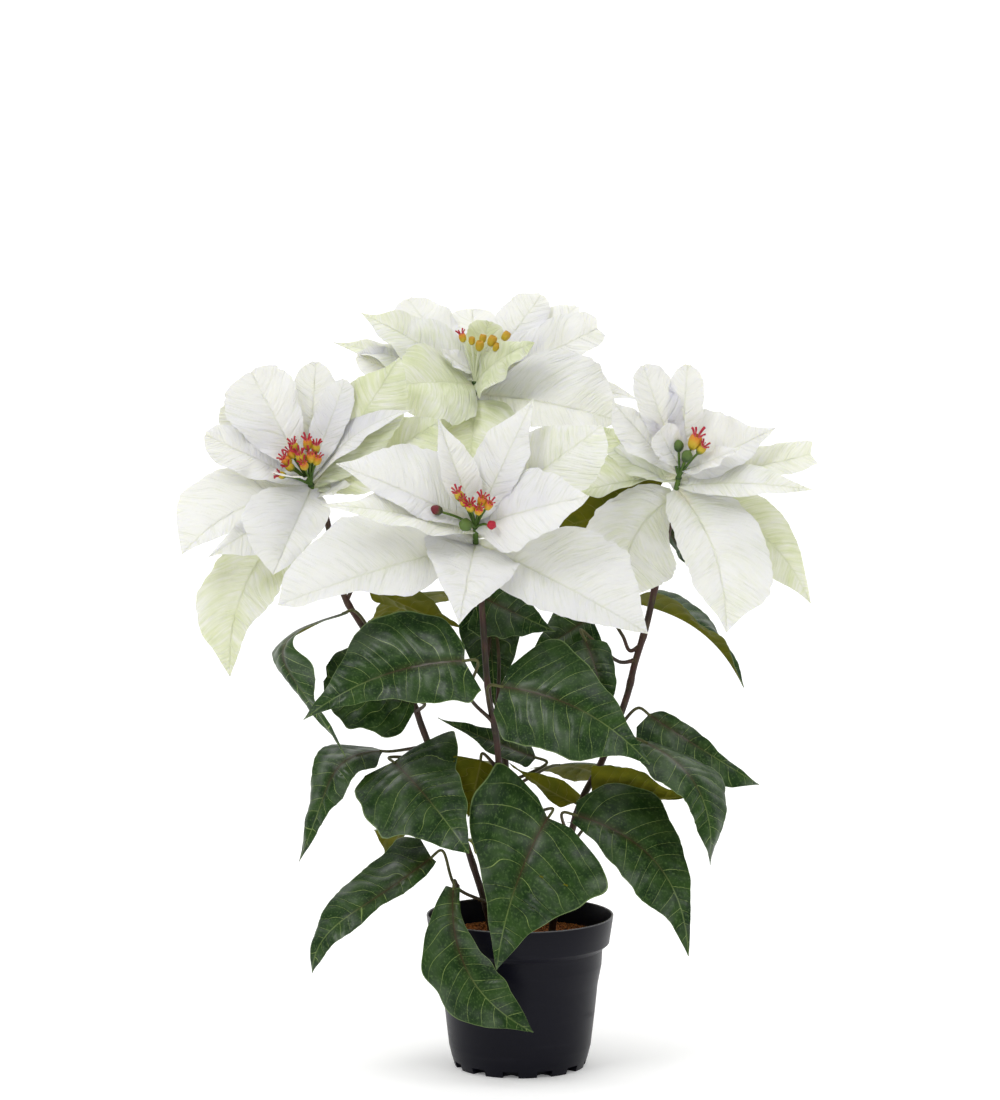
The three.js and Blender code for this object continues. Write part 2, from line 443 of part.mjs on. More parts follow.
function potSolid() {
  const outside = [[POT_FOOT_RADIUS, 0], [43.9, 7], [45.6, 14], [48.4, 38], [49.9, 53], [52.4, 66],
    [53, 76.5], [57.3, 80], [57.9, 84], [POT_RIM_RADIUS, POT_HEIGHT]];
  const inside = [[POT_RIM_RADIUS - POT_WALL, POT_HEIGHT], ...POT_INSIDE, [41.9, FLOOR_TOP]];
  const underside = [[0, 0], [PAD_RADIUS, 0], [PAD_RADIUS + PAD_SLOPE, FLOOR_UNDERSIDE],
    [FOOT_RING_INNER - 1, FLOOR_UNDERSIDE], [FOOT_RING_INNER, 0]];
  const floor = [[PAD_RADIUS + PAD_SLOPE, FLOOR_TOP], [PAD_RADIUS, FLOOR_THICKNESS], [0, FLOOR_THICKNESS]];
  let pot = latheSolid([...underside, ...outside, ...inside, ...floor], POT_SIDES);
  for (let k = 0; k < NOTCH_COUNT; k += 1) {
    // The notch takes the foot ring only, and stays below the floor.
    const notch = new THREE.BoxGeometry(NOTCH_SIZE.wide, NOTCH_SIZE.deep, 2 * NOTCH_SIZE.high);
    notch.translate(0, -POT_FOOT_RADIUS, 0);
    notch.rotateZ(NOTCH_TURN + (2 * Math.PI * k) / NOTCH_COUNT);
    pot = pot.subtract(asSolid(notch));
  }
  for (let k = 0; k < DRAIN_COUNT; k += 1) {
    const angle = (2 * Math.PI * k) / DRAIN_COUNT;
    const drain = new THREE.CylinderGeometry(DRAIN_RADIUS, DRAIN_RADIUS, 2 * FLOOR_UNDERSIDE, 8);
    drain.rotateX(Math.PI / 2);
    drain.translate(DRAIN_RING_RADIUS, 0, FLOOR_UNDERSIDE);
    drain.rotateZ(angle);
    pot = pot.subtract(asSolid(drain));
  }
  return pot;
}

function soilSolid() {
  const bottom = FLOOR_TOP + GAP;
  const wall = POT_INSIDE.filter(([, height]) => height < SOIL_LEVEL).reverse();
  const profile = [[0, bottom], [40, bottom], ...wall.map(([radius, height]) => [radius - GAP, height]),
    [56, SOIL_LEVEL], [30, SOIL_LEVEL + 0.7 * SOIL_CROWN], [0, SOIL_LEVEL + SOIL_CROWN]];
  let soil = latheSolid(profile, POT_SIDES);
  for (const name of Object.keys(STEMS)) {
    const path = stemPath(name);
    path[0].z -= GAP;
    soil = soil.subtract(tubeSolid(path, STEMS[name].radius + GAP + HOLE_DRAFT, STEM_SIDES, STEM_STEPS));
  }
  return soil;
}

// ---- stems with their petioles ----------------------------------------------------------------------------

const bloomAxis = (bloom) => vector(bloom.axis).normalize();
const onAxis = (bloom, distance) => vector(bloom.centre).addScaledVector(bloomAxis(bloom), distance);

// The stem turns into its bloom's axis just under the hub.
function stemPath(name) {
  const top = -HUB_LENGTH - GAP;
  return [...STEMS[name].points.map(vector), onAxis(BLOOMS[name], top - NECK_RUN), onAxis(BLOOMS[name], top)];
}

// The point of a stem's curve at a height.
function stemAt(name, height) {
  const curve = new THREE.CatmullRomCurve3(stemPath(name), false, 'centripetal');
  const spots = curve.getPoints(400);
  return spots.find((spot) => spot.z >= height);
}

// A petiole leaves its stem, runs through any points given, and meets its leaf's base end on.
function petioleSolid(leaf) {
  const start = Array.isArray(leaf.joint) ? vector(leaf.joint) : stemAt(leaf.stem, leaf.joint);
  const [head, next] = bladeSurface({ sweep: LEAF_SWEEP, ...leaf }, 12, 2);
  const ahead = next[1].clone().sub(head[1]).normalize();
  const across = head[2].clone().sub(head[0]);
  const under = across.cross(ahead).normalize().multiplyScalar(-(leaf.under ?? 0));
  const end = head[1].clone().addScaledVector(ahead, -PETIOLE_GAP).add(under);
  const run = Math.min(8, 0.35 * start.distanceTo(end));
  const before = end.clone().addScaledVector(ahead, -run);
  const points = [start, ...(leaf.via ?? []).map(vector), before, end];
  return tubeSolid(points, PETIOLE_RADIUS, 4, 4 + (leaf.via ?? []).length);
}

function stemSolid(name) {
  const stem = tubeSolid(stemPath(name), STEMS[name].radius, STEM_SIDES, STEM_STEPS);
  const petioles = LEAVES.filter((leaf) => leaf.stem === name).map(petioleSolid);
  return join([stem, ...petioles]);
}

// ---- blooms -----------------------------------------------------------------------------------------------

// Turns a solid that stands on +Z so that it stands along an axis from a point.
function standAlong(geometry, axis, point) {
  geometry.applyQuaternion(new THREE.Quaternion().setFromUnitVectors(new THREE.Vector3(0, 0, 1), axis));
  geometry.translate(...point);
  return geometry;
}

function bractsSolid(bloom) {
  const profile = [[0, -HUB_LENGTH], [HUB_NECK_RADIUS, -HUB_LENGTH], [HUB_NECK_RADIUS, -HUB_LENGTH / 3],
    [HUB_TOP_RADIUS, 0], [0, 0]];
  const hub = new THREE.LatheGeometry(profile.map((p) => new THREE.Vector2(...p)), 7).rotateX(Math.PI / 2);
  const solids = [asSolid(standAlong(hub, bloomAxis(bloom), vector(bloom.centre)))];
  for (const [place, tip, face, left, right, more] of bloom.bracts) {
    const large = Math.max(...left, ...right) > LARGE_BRACT;
    const blade = {
      base: onAxis(bloom, place).toArray(),
      tip: vector(bloom.centre).add(vector(tip)).toArray(),
      face,
      left,
      right,
      sweep: BRACT_SWEEP,
      ...more,
    };
    solids.push(bladeSolid(blade, large ? 6 : 4, 2));
  }
  // The bracts are notched round the flowers, and a scrap that a notch cuts loose is dropped.
  const pieces = join(solids).subtract(cyathiaSolid(bloom, GAP)).decompose();
  return pieces.reduce((best, piece) => (piece.volume() > best.volume() ? piece : best));
}

// The flowers proper: small stalked heads on a cushion. With a margin it is the space that they need.
function cyathiaSolid(bloom, margin = 0) {
  const axis = bloomAxis(bloom);
  const seat = onAxis(bloom, GAP);
  const { top, bottom, height } = CUSHION;
  const cushion = new THREE.CylinderGeometry(top + margin, bottom + margin, height + 2 * margin, 7);
  cushion.rotateX(Math.PI / 2).translate(0, 0, height / 2);
  const solids = [asSolid(standAlong(cushion, axis, seat))];
  const root = seat.clone().addScaledVector(axis, height / 2);
  for (const [x, y, z, radius] of bloom.heads) {
    const head = vector(bloom.centre).add(vector([x, y, z]));
    const direction = head.clone().sub(root).normalize();
    const bulb = new THREE.SphereGeometry(radius + margin, 5, 3).rotateX(Math.PI / 2).scale(1, 1, 1.3);
    solids.push(asSolid(standAlong(bulb, direction, head)));
    solids.push(tubeSolid([root, head], STALK_RADIUS + margin, 4, 1));
  }
  return join(solids);
}

// ---- the plant --------------------------------------------------------------------------------------------

const plant = new THREE.Group();
plant.name = 'poinsettia';
plant.add(asMesh('pot', potSolid(), MATERIALS.pot));
plant.add(asMesh('soil', soilSolid(), MATERIALS.soil));
for (const [name, bloom] of Object.entries(BLOOMS)) {
  plant.add(asMesh(`stem_${name}`, stemSolid(name), MATERIALS.stem));
  plant.add(asMesh(`bracts_${name}`, bractsSolid(bloom), MATERIALS.bract));
  plant.add(asMesh(`cyathia_${name}`, cyathiaSolid(bloom), MATERIALS.cyathia));
}
for (const leaf of LEAVES) {
  const small = Math.max(...leaf.left, ...leaf.right) <= SMALL_LEAF;
  const blade = { sweep: LEAF_SWEEP, ...leaf };
  plant.add(asMesh(leaf.name, bladeSolid(blade, 5, small ? 2 : 4), MATERIALS.leaf));
}

export default plant;
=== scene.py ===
# %% [markdown]
# # A potted poinsettia
# The real thing is a nursery pot of peat and coco crumb with four woody stems. Each stem carries dark,
# leathery leaves on thin stalks and ends in a head of white and pale green bracts, which are leaves that
# look like petals. The true flowers are the small yellow and red cups in the middle of each head.
#
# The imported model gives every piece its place. This lesson replaces its plain solids with finer ones:
# blades with veins and ruffled edges, stalks that taper, flowers with fingers, and loose soil.

# %% The frame
import math

import bpy
import numpy as np
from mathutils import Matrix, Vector


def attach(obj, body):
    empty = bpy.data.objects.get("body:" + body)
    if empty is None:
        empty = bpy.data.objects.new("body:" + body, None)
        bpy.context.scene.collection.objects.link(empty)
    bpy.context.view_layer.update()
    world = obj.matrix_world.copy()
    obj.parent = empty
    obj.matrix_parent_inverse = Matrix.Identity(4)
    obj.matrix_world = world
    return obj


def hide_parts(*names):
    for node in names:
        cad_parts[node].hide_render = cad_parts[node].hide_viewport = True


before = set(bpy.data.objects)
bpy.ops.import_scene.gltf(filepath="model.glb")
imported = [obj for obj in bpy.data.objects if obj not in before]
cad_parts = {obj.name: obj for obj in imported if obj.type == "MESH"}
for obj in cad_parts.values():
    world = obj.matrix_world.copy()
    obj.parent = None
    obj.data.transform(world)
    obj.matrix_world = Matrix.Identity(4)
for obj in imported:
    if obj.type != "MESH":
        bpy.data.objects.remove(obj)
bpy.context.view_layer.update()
MM = 0.001
SEED = 12
bpy.context.scene.view_settings.view_transform = "Standard"
print("frame:", len(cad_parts), "nodes")

# %% [markdown]
# ## Shader maths in plain Python
# A material is a graph of small sums. Written as nodes they are hard to read, so a `Wire` wraps a socket:
# `1 - mask * 0.5` then adds the Math nodes by itself. Everything that isn't arithmetic goes through
# `put`, which takes a node's type, its settings and what goes into its sockets. The same wires carry the
# sums of the Geometry Nodes trees further down.

# %% Wires
MATHS = {"add": "ADD", "sub": "SUBTRACT", "mul": "MULTIPLY", "truediv": "DIVIDE", "pow": "POWER"}


class Wire:
    """A value on its way through a tree of nodes: arithmetic on it adds Math nodes."""

    def __init__(self, socket):
        self.socket = socket
        self.tree = socket.id_data

    def math(self, operation, other=0.0):
        return put(self.tree, "Math", {"operation": operation}, {0: self, 1: other})

    def __abs__(self):
        return self.math("ABSOLUTE")

    def parts(self):
        """The three numbers of a vector."""
        node = put(self.tree, "SeparateXYZ", {}, {0: self}).socket.node
        return [Wire(socket) for socket in node.outputs]


def feed(node, inputs):
    """Links or sets what goes into a node's sockets."""
    for key, value in inputs.items():
        if isinstance(value, Wire):
            node.id_data.links.new(value.socket, node.inputs[key])
        else:
            node.inputs[key].default_value = value


def put(tree, kind, settings=None, inputs=None, out=0):
    """Adds a node and returns the wire that leaves its socket `out`. A short kind is a shader node."""
    node = tree.nodes.new(kind if "Node" in kind else "ShaderNode" + kind)
    for key, value in (settings or {}).items():
        setattr(node, key, value)
    feed(node, inputs or {})
    return Wire(node.outputs[out])


def forward(operation):
    return lambda self, other: self.math(operation, other)


def reflected(operation):
    return lambda self, other: put(self.tree, "Math", {"operation": operation}, {0: other, 1: self})


for python_name, operation in MATHS.items():
    setattr(Wire, f"__{python_name}__", forward(operation))
    setattr(Wire, f"__r{python_name}__", reflected(operation))


def band(value, low, high):
    """0 below low, 1 above high, smooth between them."""
    settings = {"interpolation_type": "SMOOTHSTEP"}
    return put(value.tree, "MapRange", settings, {0: value, 1: low, 2: high, 3: 0.0, 4: 1.0})


def blend_colours(share, first, second):
    """The first colour where share is 0, the second where it is 1. Mix has one set of sockets per type."""
    first, second = (colour if isinstance(colour, Wire) else (*colour, 1.0) for colour in (first, second))
    return put(share.tree, "Mix", {"data_type": "RGBA"}, {0: share, 6: first, 7: second}, out=2)


def attribute(tree, name):
    return put(tree, "Attribute", {"attribute_name": name}, out=2)


def noise(place, scale, detail=2.0, distortion=0.0):
    """Cloudy noise about 0.5."""
    inputs = {"Vector": place, "Scale": scale, "Detail": detail, "Distortion": distortion}
    return put(place.tree, "TexNoise", {}, inputs)


def vector(x, y, z=0.0):
    return put(x.tree, "CombineXYZ", {}, {0: x, 1: y, 2: z})


def stretched(place, factors):
    """A place with each of its three numbers multiplied, so that noise on it gets longer or flatter."""
    return put(place.tree, "VectorMath", {"operation": "MULTIPLY"}, {0: place, 1: factors})


def object_place(tree):
    """The place on the object itself, in metres."""
    return put(tree, "TexCoord", out=3)


def bump(height, distance):
    return put(height.tree, "Bump", {}, {"Height": height, "Distance": distance})


def finish(name, paint):
    """A Principled material. paint(tree) gives what goes into the shader's sockets."""
    material = bpy.data.materials.new(name)
    material.use_nodes = True
    feed(material.node_tree.nodes["Principled BSDF"], paint(material.node_tree))
    print(f"{name}: {len(material.node_tree.nodes)} shader nodes")
    return material


def placed(name, data):
    """An object in the scene that shows a mesh, a curve, a lamp or a camera."""
    thing = bpy.data.objects.new(name, data)
    bpy.context.scene.collection.objects.link(thing)
    return thing

# %% [markdown]
# ## Leaf and bract finishes
# A blade is painted in its own coordinates, so that veins follow it however it bends. Its mesh carries a UV
# map in decimetres (across from the midrib, along from the base) and six numbers at every point: `vein`
# counts the side veins, `pitch` is their spacing in millimetres, `along` runs from 0 at the base to 1 at
# the tip, and `across` from -1 to 1 between the edges. `green` says how green a bract is, and `seed` moves
# the noise, so that no two blades have the same clouds.
#
# The leaves are dark and leathery: fine speckles, thin yellow-green side veins, a red-brown midrib that
# turns green towards the tip, and a coat that shines only in patches. The bracts are silky and nearly
# white, crinkled across like crepe. A little subsurface scattering lets light through them.

# %% Blade coordinates
BLADE_NUMBERS = ("vein", "pitch", "along", "across", "green", "seed")
DECIMETRE = 100.0
VEIN_WIDTH = 0.17
MIDRIB_WIDTH = 0.75


def blade_inputs(tree):
    """The blade's own coordinates: millimetres across and along, and its six numbers."""
    out, ahead, _ = put(tree, "UVMap", {"uv_map": "blade"}).parts()
    places = {"out": out * DECIMETRE, "ahead": ahead * DECIMETRE}
    return {**places, **{key: attribute(tree, key) for key in BLADE_NUMBERS}}


def vein_distance(blade):
    """Millimetres to the nearest side vein."""
    return abs((blade["vein"] + 0.5).math("FRACT") - 0.5) * blade["pitch"]


def line(distance, width, soft):
    """1 on a line of that half width, fading to 0."""
    return 1.0 - band(distance, width, width + soft)


# %% Leaf finish
LEAF_DARK = (0.007, 0.026, 0.004)
LEAF_LIGHT = (0.024, 0.058, 0.010)
LEAF_SPECK = (0.070, 0.125, 0.035)
LEAF_VEIN = (0.21, 0.29, 0.085)
LEAF_EDGE = (0.16, 0.23, 0.08)
MIDRIB_RED = (0.050, 0.027, 0.012)
OLIVE = (0.125, 0.125, 0.004)
OLIVE_DARK = (0.088, 0.100, 0.005)
OLIVE_VEIN = (0.19, 0.17, 0.04)


def leaf_pattern(tree):
    blade = blade_inputs(tree)
    place = vector(blade["out"], blade["ahead"], blade["seed"])
    clouds = noise(place, 0.09, 3.0)
    specks = noise(place, 0.75, 3.0)
    fade = 1.0 - band(abs(blade["across"]), 0.55, 1.0) * 0.75
    broken = band(clouds * 0.5 + specks * 0.5, 0.36, 0.5)
    side = line(vein_distance(blade), VEIN_WIDTH * 0.5, VEIN_WIDTH) * fade * (broken * 0.6 + 0.4)
    middle = line(abs(blade["out"]), 0.0, MIDRIB_WIDTH) * (1.0 - blade["along"] * 0.7)
    return blade, clouds, specks, side, middle


def leaf_top(tree):
    blade, clouds, specks, side, middle = leaf_pattern(tree)
    colour = blend_colours(band(clouds, 0.32, 0.68), LEAF_DARK, LEAF_LIGHT)
    colour = blend_colours(band(specks, 0.50, 0.72) * 0.65, colour, LEAF_SPECK)
    flush = (1.0 - band(abs(blade["out"]), 0.5, 4.5)) * (1.0 - band(blade["along"], 0.1, 0.7))
    colour = blend_colours(flush * 0.4, colour, MIDRIB_RED)
    colour = blend_colours(side * (1.0 - flush * 0.6) * 0.9, colour, LEAF_VEIN)
    rib = blend_colours(band(blade["along"], 0.40, 0.75), MIDRIB_RED, LEAF_VEIN)
    colour = blend_colours(middle, colour, rib)
    edge = band(abs(blade["across"]), 0.972, 0.992)
    colour = blend_colours(edge * 0.8, colour, LEAF_EDGE)
    gloss = noise(vector(blade["out"], blade["ahead"], blade["seed"] + 5.0), 0.06, 2.0)
    height = specks * 0.6 - side * 0.6
    return {
        "Base Color": colour,
        "Roughness": specks * 0.25 + 0.34,
        "Normal": bump(height, 0.35 * MM),
        "Specular IOR Level": 0.11,
        "Coat Weight": band(gloss, 0.40, 0.70) * 0.75,
        "Coat Roughness": 0.32,
    }


def leaf_underside(tree):
    blade, clouds, specks, side, middle = leaf_pattern(tree)
    colour = blend_colours(band(clouds, 0.35, 0.7), OLIVE, OLIVE_DARK)
    colour = blend_colours(side * 0.7 + middle * 0.8, colour, OLIVE_VEIN)
    return {
        "Base Color": colour,
        "Roughness": 0.62,
        "Normal": bump(specks + side, 0.15 * MM),
        "Specular IOR Level": 0.08,
    }


LEAF_FINISHES = [finish("leaf upper side", leaf_top), finish("leaf underside", leaf_underside)]

# %% Bract finish
BRACT_WHITE = (0.745, 0.745, 0.722)
BRACT_GREEN = (0.59, 0.63, 0.44)
BRACT_DEEP = (0.41, 0.48, 0.23)
BRACT_PAINTED_WARM_SHADE = (0.80, 0.69, 0.58)
# Grey-green of the side veins, and of the painted shade in the crepe's creases.
BRACT_VEIN_AND_CREASE_SHADE = (0.55, 0.58, 0.45)
CREPE_PITCH = 2.6


def bract_silk(tree):
    blade = blade_inputs(tree)
    ahead = blade["vein"] * blade["pitch"]
    place = vector(blade["out"], blade["ahead"], blade["seed"] * 7.0)
    clouds = noise(place, 0.055, 3.0)
    threads = noise(vector(blade["out"] * 0.07, ahead * 0.55, blade["seed"]), 1.0, 3.0, 0.5)
    crepe = noise(vector(blade["out"] * 0.10, ahead / CREPE_PITCH, blade["seed"]), 1.0, 1.0, 0.3)
    out = abs(blade["out"])
    middle = line(out, 0.1, 0.9) * (1.0 - blade["along"] * 0.6)
    near = 1.0 - band(out, 0.0, 9.0)
    low = 1.0 - band(blade["along"], 0.0, 0.55)
    mottle = (clouds - 0.5) * 1.3 + (threads - 0.5) * 1.3
    tint = blade["green"] * 1.15 + mottle * (blade["green"] * 0.9 + 0.45)
    # Greener towards the base near the midrib: painted cream-green shade, as falls between the overlapping
    # bracts of a head.
    tint = tint + near * low * 0.35 - 0.08
    colour = blend_colours(band(tint, 0.0, 1.15), BRACT_WHITE, BRACT_GREEN)
    colour = blend_colours(band(tint, 0.75, 1.7) * 0.6, colour, BRACT_DEEP)
    colour = blend_colours(middle * (blade["green"] * 0.5 + 0.3), colour, BRACT_GREEN)
    # Greyish-green lines across the crepe: painted shade in its creases.
    lines = noise(vector(blade["out"] * 0.11, ahead, blade["seed"] + 3.0), 1.0, 2.0, 0.6)
    painted_crease_shade = band(lines, 0.52, 0.72) * (band(clouds, 0.40, 0.62) * 0.35 + blade["green"] * 0.25)
    colour = blend_colours(painted_crease_shade, colour, BRACT_VEIN_AND_CREASE_SHADE)
    side = line(vein_distance(blade), 0.1, 0.7) * band(clouds, 0.35, 0.65)
    colour = blend_colours(side * 0.2, colour, BRACT_VEIN_AND_CREASE_SHADE)
    # Warm beige-pink patches at the base near the midrib: painted shade near the head's centre.
    painted_warm_shade = band(clouds * near * low, 0.33, 0.62)
    colour = blend_colours(painted_warm_shade * 0.35, colour, BRACT_PAINTED_WARM_SHADE)
    height = crepe * 0.8 + threads * 0.7 + lines * 0.3 - middle * 0.4 - side * 0.2
    return {
        "Base Color": colour,
        "Roughness": 0.62,
        "Normal": bump(height, 0.9 * MM),
        "Specular IOR Level": 0.15,
        "Subsurface Weight": 0.45,
        "Subsurface Radius": (1.0, 1.0, 0.55),
        "Subsurface Scale": 1.5 * MM,
    }


BRACT_FINISH = finish("bract silk", bract_silk)

# %% [markdown]
# ## The blade
# Every leaf and bract is one curved sheet about a midrib. A row of the tables further down gives the ends of
# the midrib, the way the upper face looks, and the half widths left and right of it at nine stations. Bow,
# rise and hook lift the midrib's middle, first and last third, and sway moves it sideways. That is the
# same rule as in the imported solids, so each fine blade lies where its solid is.
#
# What the solids leave out is added here: the sheet puffs up between its side veins, its edge ruffles, and
# a rib runs along its underside. A grid of points in arrays is the quickest way to make such a sheet.

# %% Blade shapes
STATIONS = np.array([0, 0.12, 0.25, 0.38, 0.5, 0.62, 0.75, 0.88, 1])
OVATE = (0.07, 0.52, 0.86, 1, 0.96, 0.8, 0.52, 0.22, 0)
BLUNT = (0.07, 0.42, 0.7, 0.88, 0.98, 1, 0.95, 0.74, 0.14)
HEART = (0.06, 1, 0.97, 0.87, 0.74, 0.52, 0.28, 0.13, 0)
# Makes rise and hook the height of the bend itself, as bow is by its formula.
PEAK = 2.37


def widths(half, shares):
    return tuple(half * share for share in shares)


def blunt(half):
    return widths(half, BLUNT)


def unit(v):
    v = np.asarray(v, float)
    return v / np.linalg.norm(v, axis=-1, keepdims=True)


def at_stations(values, t):
    """Station values joined by a curve that never overshoots them."""
    values = np.asarray(values, float)
    steps = np.diff(STATIONS)
    rises = np.diff(values) / steps
    slopes = np.concatenate([rises[:1], np.zeros(len(rises) - 1), rises[-1:]])
    product = rises[:-1] * rises[1:]
    bends = product > 0
    slopes[1:-1][bends] = 2 * product[bends] / (rises[:-1] + rises[1:])[bends]
    i = np.clip(np.searchsorted(STATIONS, t, side="right") - 1, 0, len(steps) - 1)
    s = (t - STATIONS[i]) / steps[i]
    kept = (1 + 2 * s) * (1 - s) ** 2 * values[i] + s * s * (3 - 2 * s) * values[i + 1]
    return kept + steps[i] * (s * (1 - s) ** 2 * slopes[i] - s * s * (1 - s) * slopes[i + 1])


def wander(seed, t, u, terms=4):
    """A slow seeded swell over the blade, between about -1 and 1."""
    draw = np.random.default_rng(seed)
    total = 0
    for _ in range(terms):
        along, across, turn = draw.uniform(0.5, 2.2), draw.uniform(-0.8, 0.8), draw.uniform(0, 2 * math.pi)
        total = total + np.sin(2 * math.pi * (along * t + across * u) + turn)
    return total / terms


class Blade:
    """One leaf or bract: a row of a table, with its kind's habits filled in."""

    def __init__(self, base, tip, face, left, right, kind, seed, **row):
        self.base, self.tip, self.face = (np.array(v, float) for v in (base, tip, face))
        self.left, self.right = (
            widths(side, kind["shares"]) if np.isscalar(side) else side for side in (left, right))
        self.half = max(*self.left, *self.right)
        self.kind = {**kind, **kind["by_size"](self.half), **row}
        self.seed, self.length = seed, float(np.linalg.norm(self.tip - self.base))

    def midrib(self, t):
        """Points of the midrib, and its directions ahead, up and to the side."""
        habit = self.kind
        chord = self.tip - self.base
        ahead = unit(chord)
        up = unit(self.face - self.face @ ahead * ahead)
        aside = np.cross(ahead, up)
        t = t[:, None]
        r = 1 - t
        lift = 4 * (habit["bow"] * t * r + PEAK * (habit["rise"] * t * r**3 + habit["hook"] * t**3 * r))
        bends = habit["rise"] * (r**3 - 3 * t * r * r) + habit["hook"] * (3 * t * t - 4 * t**3)
        slope = 4 * (habit["bow"] * (1 - 2 * t) + PEAK * bends)
        centre = self.base + chord * t + up * lift + aside * (4 * habit["sway"] * t * r)
        tangent = unit(chord + up * slope + aside * (4 * habit["sway"] * (1 - 2 * t)))
        normal = unit(up - (tangent @ up)[:, None] * tangent)
        return centre, tangent, normal, np.cross(tangent, normal)

    def surface(self, rows, columns):
        """The middle of the sheet as a grid of points, with the numbers that its finish reads."""
        habit = self.kind
        t = np.linspace(0, 1, rows + 1) ** habit["crowd"]
        centre, tangent, normal, side = (a[:, None, :] for a in self.midrib(t))
        w = np.linspace(-1, 1, columns + 1)
        u = np.sign(w) * np.abs(w) ** 1.25
        t, u = t[:, None], u[None, :]
        left, right = at_stations(self.left, t), at_stations(self.right, t)
        half = np.maximum(0.22, np.where(u > 0, right, left))
        scallop = 1 + habit["scallop"] * np.abs(u) ** 3 * wander(self.seed + 5, 3 * t, np.sign(u), 5)
        scallop = scallop + habit["rag"] * np.abs(u) ** 5 * wander(self.seed + 9, 9 * t, np.sign(u), 5)
        x = u * half * scallop
        out = np.abs(x)
        start = np.where(u > 0, habit["sweep"][1], habit["sweep"][0])
        sweep = (start + (habit["sweep"][2] - start) * t) * out
        lean = habit["lean"] * out + habit["bend"] * out * out / self.half
        stray = habit["stray"] * wander(self.seed + 3, 2.5 * t + 0.3 * np.sign(u), 0.4 * u)
        vein = (t * self.length - lean) / habit["pitch"] + habit["shift"] * (u > 0) + stray
        lift = habit["fold"] * out + habit["curl"] * out * out / self.half
        lift = lift + self.relief(t, u, out, vein)
        points = centre + side * x[..., None] + normal * lift[..., None] + tangent * sweep[..., None]
        return points, t + 0 * u, u + 0 * t, x, vein

    def relief(self, t, u, out, vein):
        """Puffs between the veins, a sunk midrib, ruffled edges and a slow swell, in millimetres."""
        habit = self.kind
        ends = np.sin(math.pi * np.clip(t, 0, 1) ** 0.8) ** 0.6
        puff = np.sqrt(np.abs(np.sin(math.pi * vein))) - 0.6
        spread = np.clip(np.abs(u) * 3.5, 0, 1) * (1 - 0.55 * np.abs(u) ** 2)
        total = habit["puff"] * puff * spread * ends
        total = total - habit["groove"] * np.exp(-((out / habit["groove_width"]) ** 2)) * ends
        phase = 2 * math.pi * (habit["waves"] * t + 0.13 * (self.seed % 7) + 0.37 * (u < 0))
        total = total + habit["ruffle"] * u * u * np.sin(phase + 0.8 * np.sin(phase * 0.5)) * ends
        return total + habit["swell"] * wander(self.seed, t, u) * ends * np.abs(u) ** 0.7


def leaf_size(half):
    """A large leaf has its side veins further apart, and puffs and ruffles more."""
    return dict(puff=0.055 * half, pitch=5.8 + 0.085 * half, ruffle=0.06 * half)


SMALL_BRACT = 16


def bract_size(half):
    return dict(puff=0.25, ruffle=1.0, swell=0.8, pitch=5.5) if half < SMALL_BRACT else {}


EVEN = dict(bow=0, rise=0, hook=0, sway=0, fold=0, crowd=1.0, stray=0.4)
LEAF_KIND = dict(
    EVEN, shares=HEART, by_size=leaf_size, sweep=(-0.2, -0.2, 0.35), curl=-0.06, lean=0.30, bend=0.28,
    shift=0.35, groove=1.6, groove_width=3.0, waves=2.2, swell=2.4, scallop=0.07, rag=0.0, green=0.0,
    thick=0.35, rib=0.5)
BRACT_KIND = dict(
    EVEN, shares=OVATE, by_size=bract_size, sweep=(0, 0, 0.35), curl=0.0, pitch=7.5, lean=0.35, bend=0.25,
    shift=0.5, puff=0.55, groove=2.2, groove_width=6.0, waves=2.6, ruffle=2.2, swell=2.2, scallop=0.05,
    rag=0.04, thick=0.3, rib=0.25)


# %% Sheets become a mesh
class Sheets:
    """Gathers closed sheets, and at the end makes one object of them."""

    def __init__(self):
        self.points, self.faces, self.finishes, self.uvs = [], [], [], []
        self.numbers = {key: [] for key in BLADE_NUMBERS}
        self.count = 0

    def add(self, blade, rows, columns):
        mid, t, u, x, vein = blade.surface(rows, columns)
        habit = blade.kind
        ahead, aside = np.gradient(mid, axis=0), np.gradient(mid, axis=1)
        normal = unit(np.cross(aside, ahead))
        rib = habit["rib"] * np.exp(-((x / 1.3) ** 2)) * (1 - 0.8 * t)
        thick = habit["thick"] / 2 * (1 - 0.45 * np.abs(u) ** 6)
        upper = mid + normal * thick[..., None]
        lower = mid - normal * (thick + rib)[..., None]
        self.points += [upper.reshape(-1, 3), lower.reshape(-1, 3)]
        self.faces += [sheet_faces(rows, columns) + self.count]
        cells, rim = rows * columns, 2 * (rows + columns)
        self.finishes += [np.concatenate([np.zeros(cells), np.ones(cells), np.zeros(rim)]).astype(int)]
        uv = np.stack([x, t * blade.length], -1).reshape(-1, 2) / DECIMETRE
        self.uvs += [uv, uv]
        values = (vein, habit["pitch"], t, u, habit["green"], (blade.seed * 0.618) % 1 * 10)
        for key, value in zip(BLADE_NUMBERS, values):
            flat = np.broadcast_to(value, t.shape).reshape(-1)
            self.numbers[key] += [flat, flat]
        self.count += 2 * t.size

    def build(self, name, finishes):
        points = np.concatenate(self.points) * MM
        faces = np.concatenate(self.faces)
        piece = mesh_object(name, points, faces, finishes)
        data = piece.data
        data.polygons.foreach_set("material_index", np.concatenate(self.finishes) % len(finishes))
        uv = data.uv_layers.new(name="blade")
        uv.data.foreach_set("uv", np.concatenate(self.uvs)[faces.reshape(-1)].astype(np.float32).reshape(-1))
        for key, values in self.numbers.items():
            store(data, key, np.concatenate(values))
        data.set_sharp_from_angle(angle=math.radians(55))
        return piece


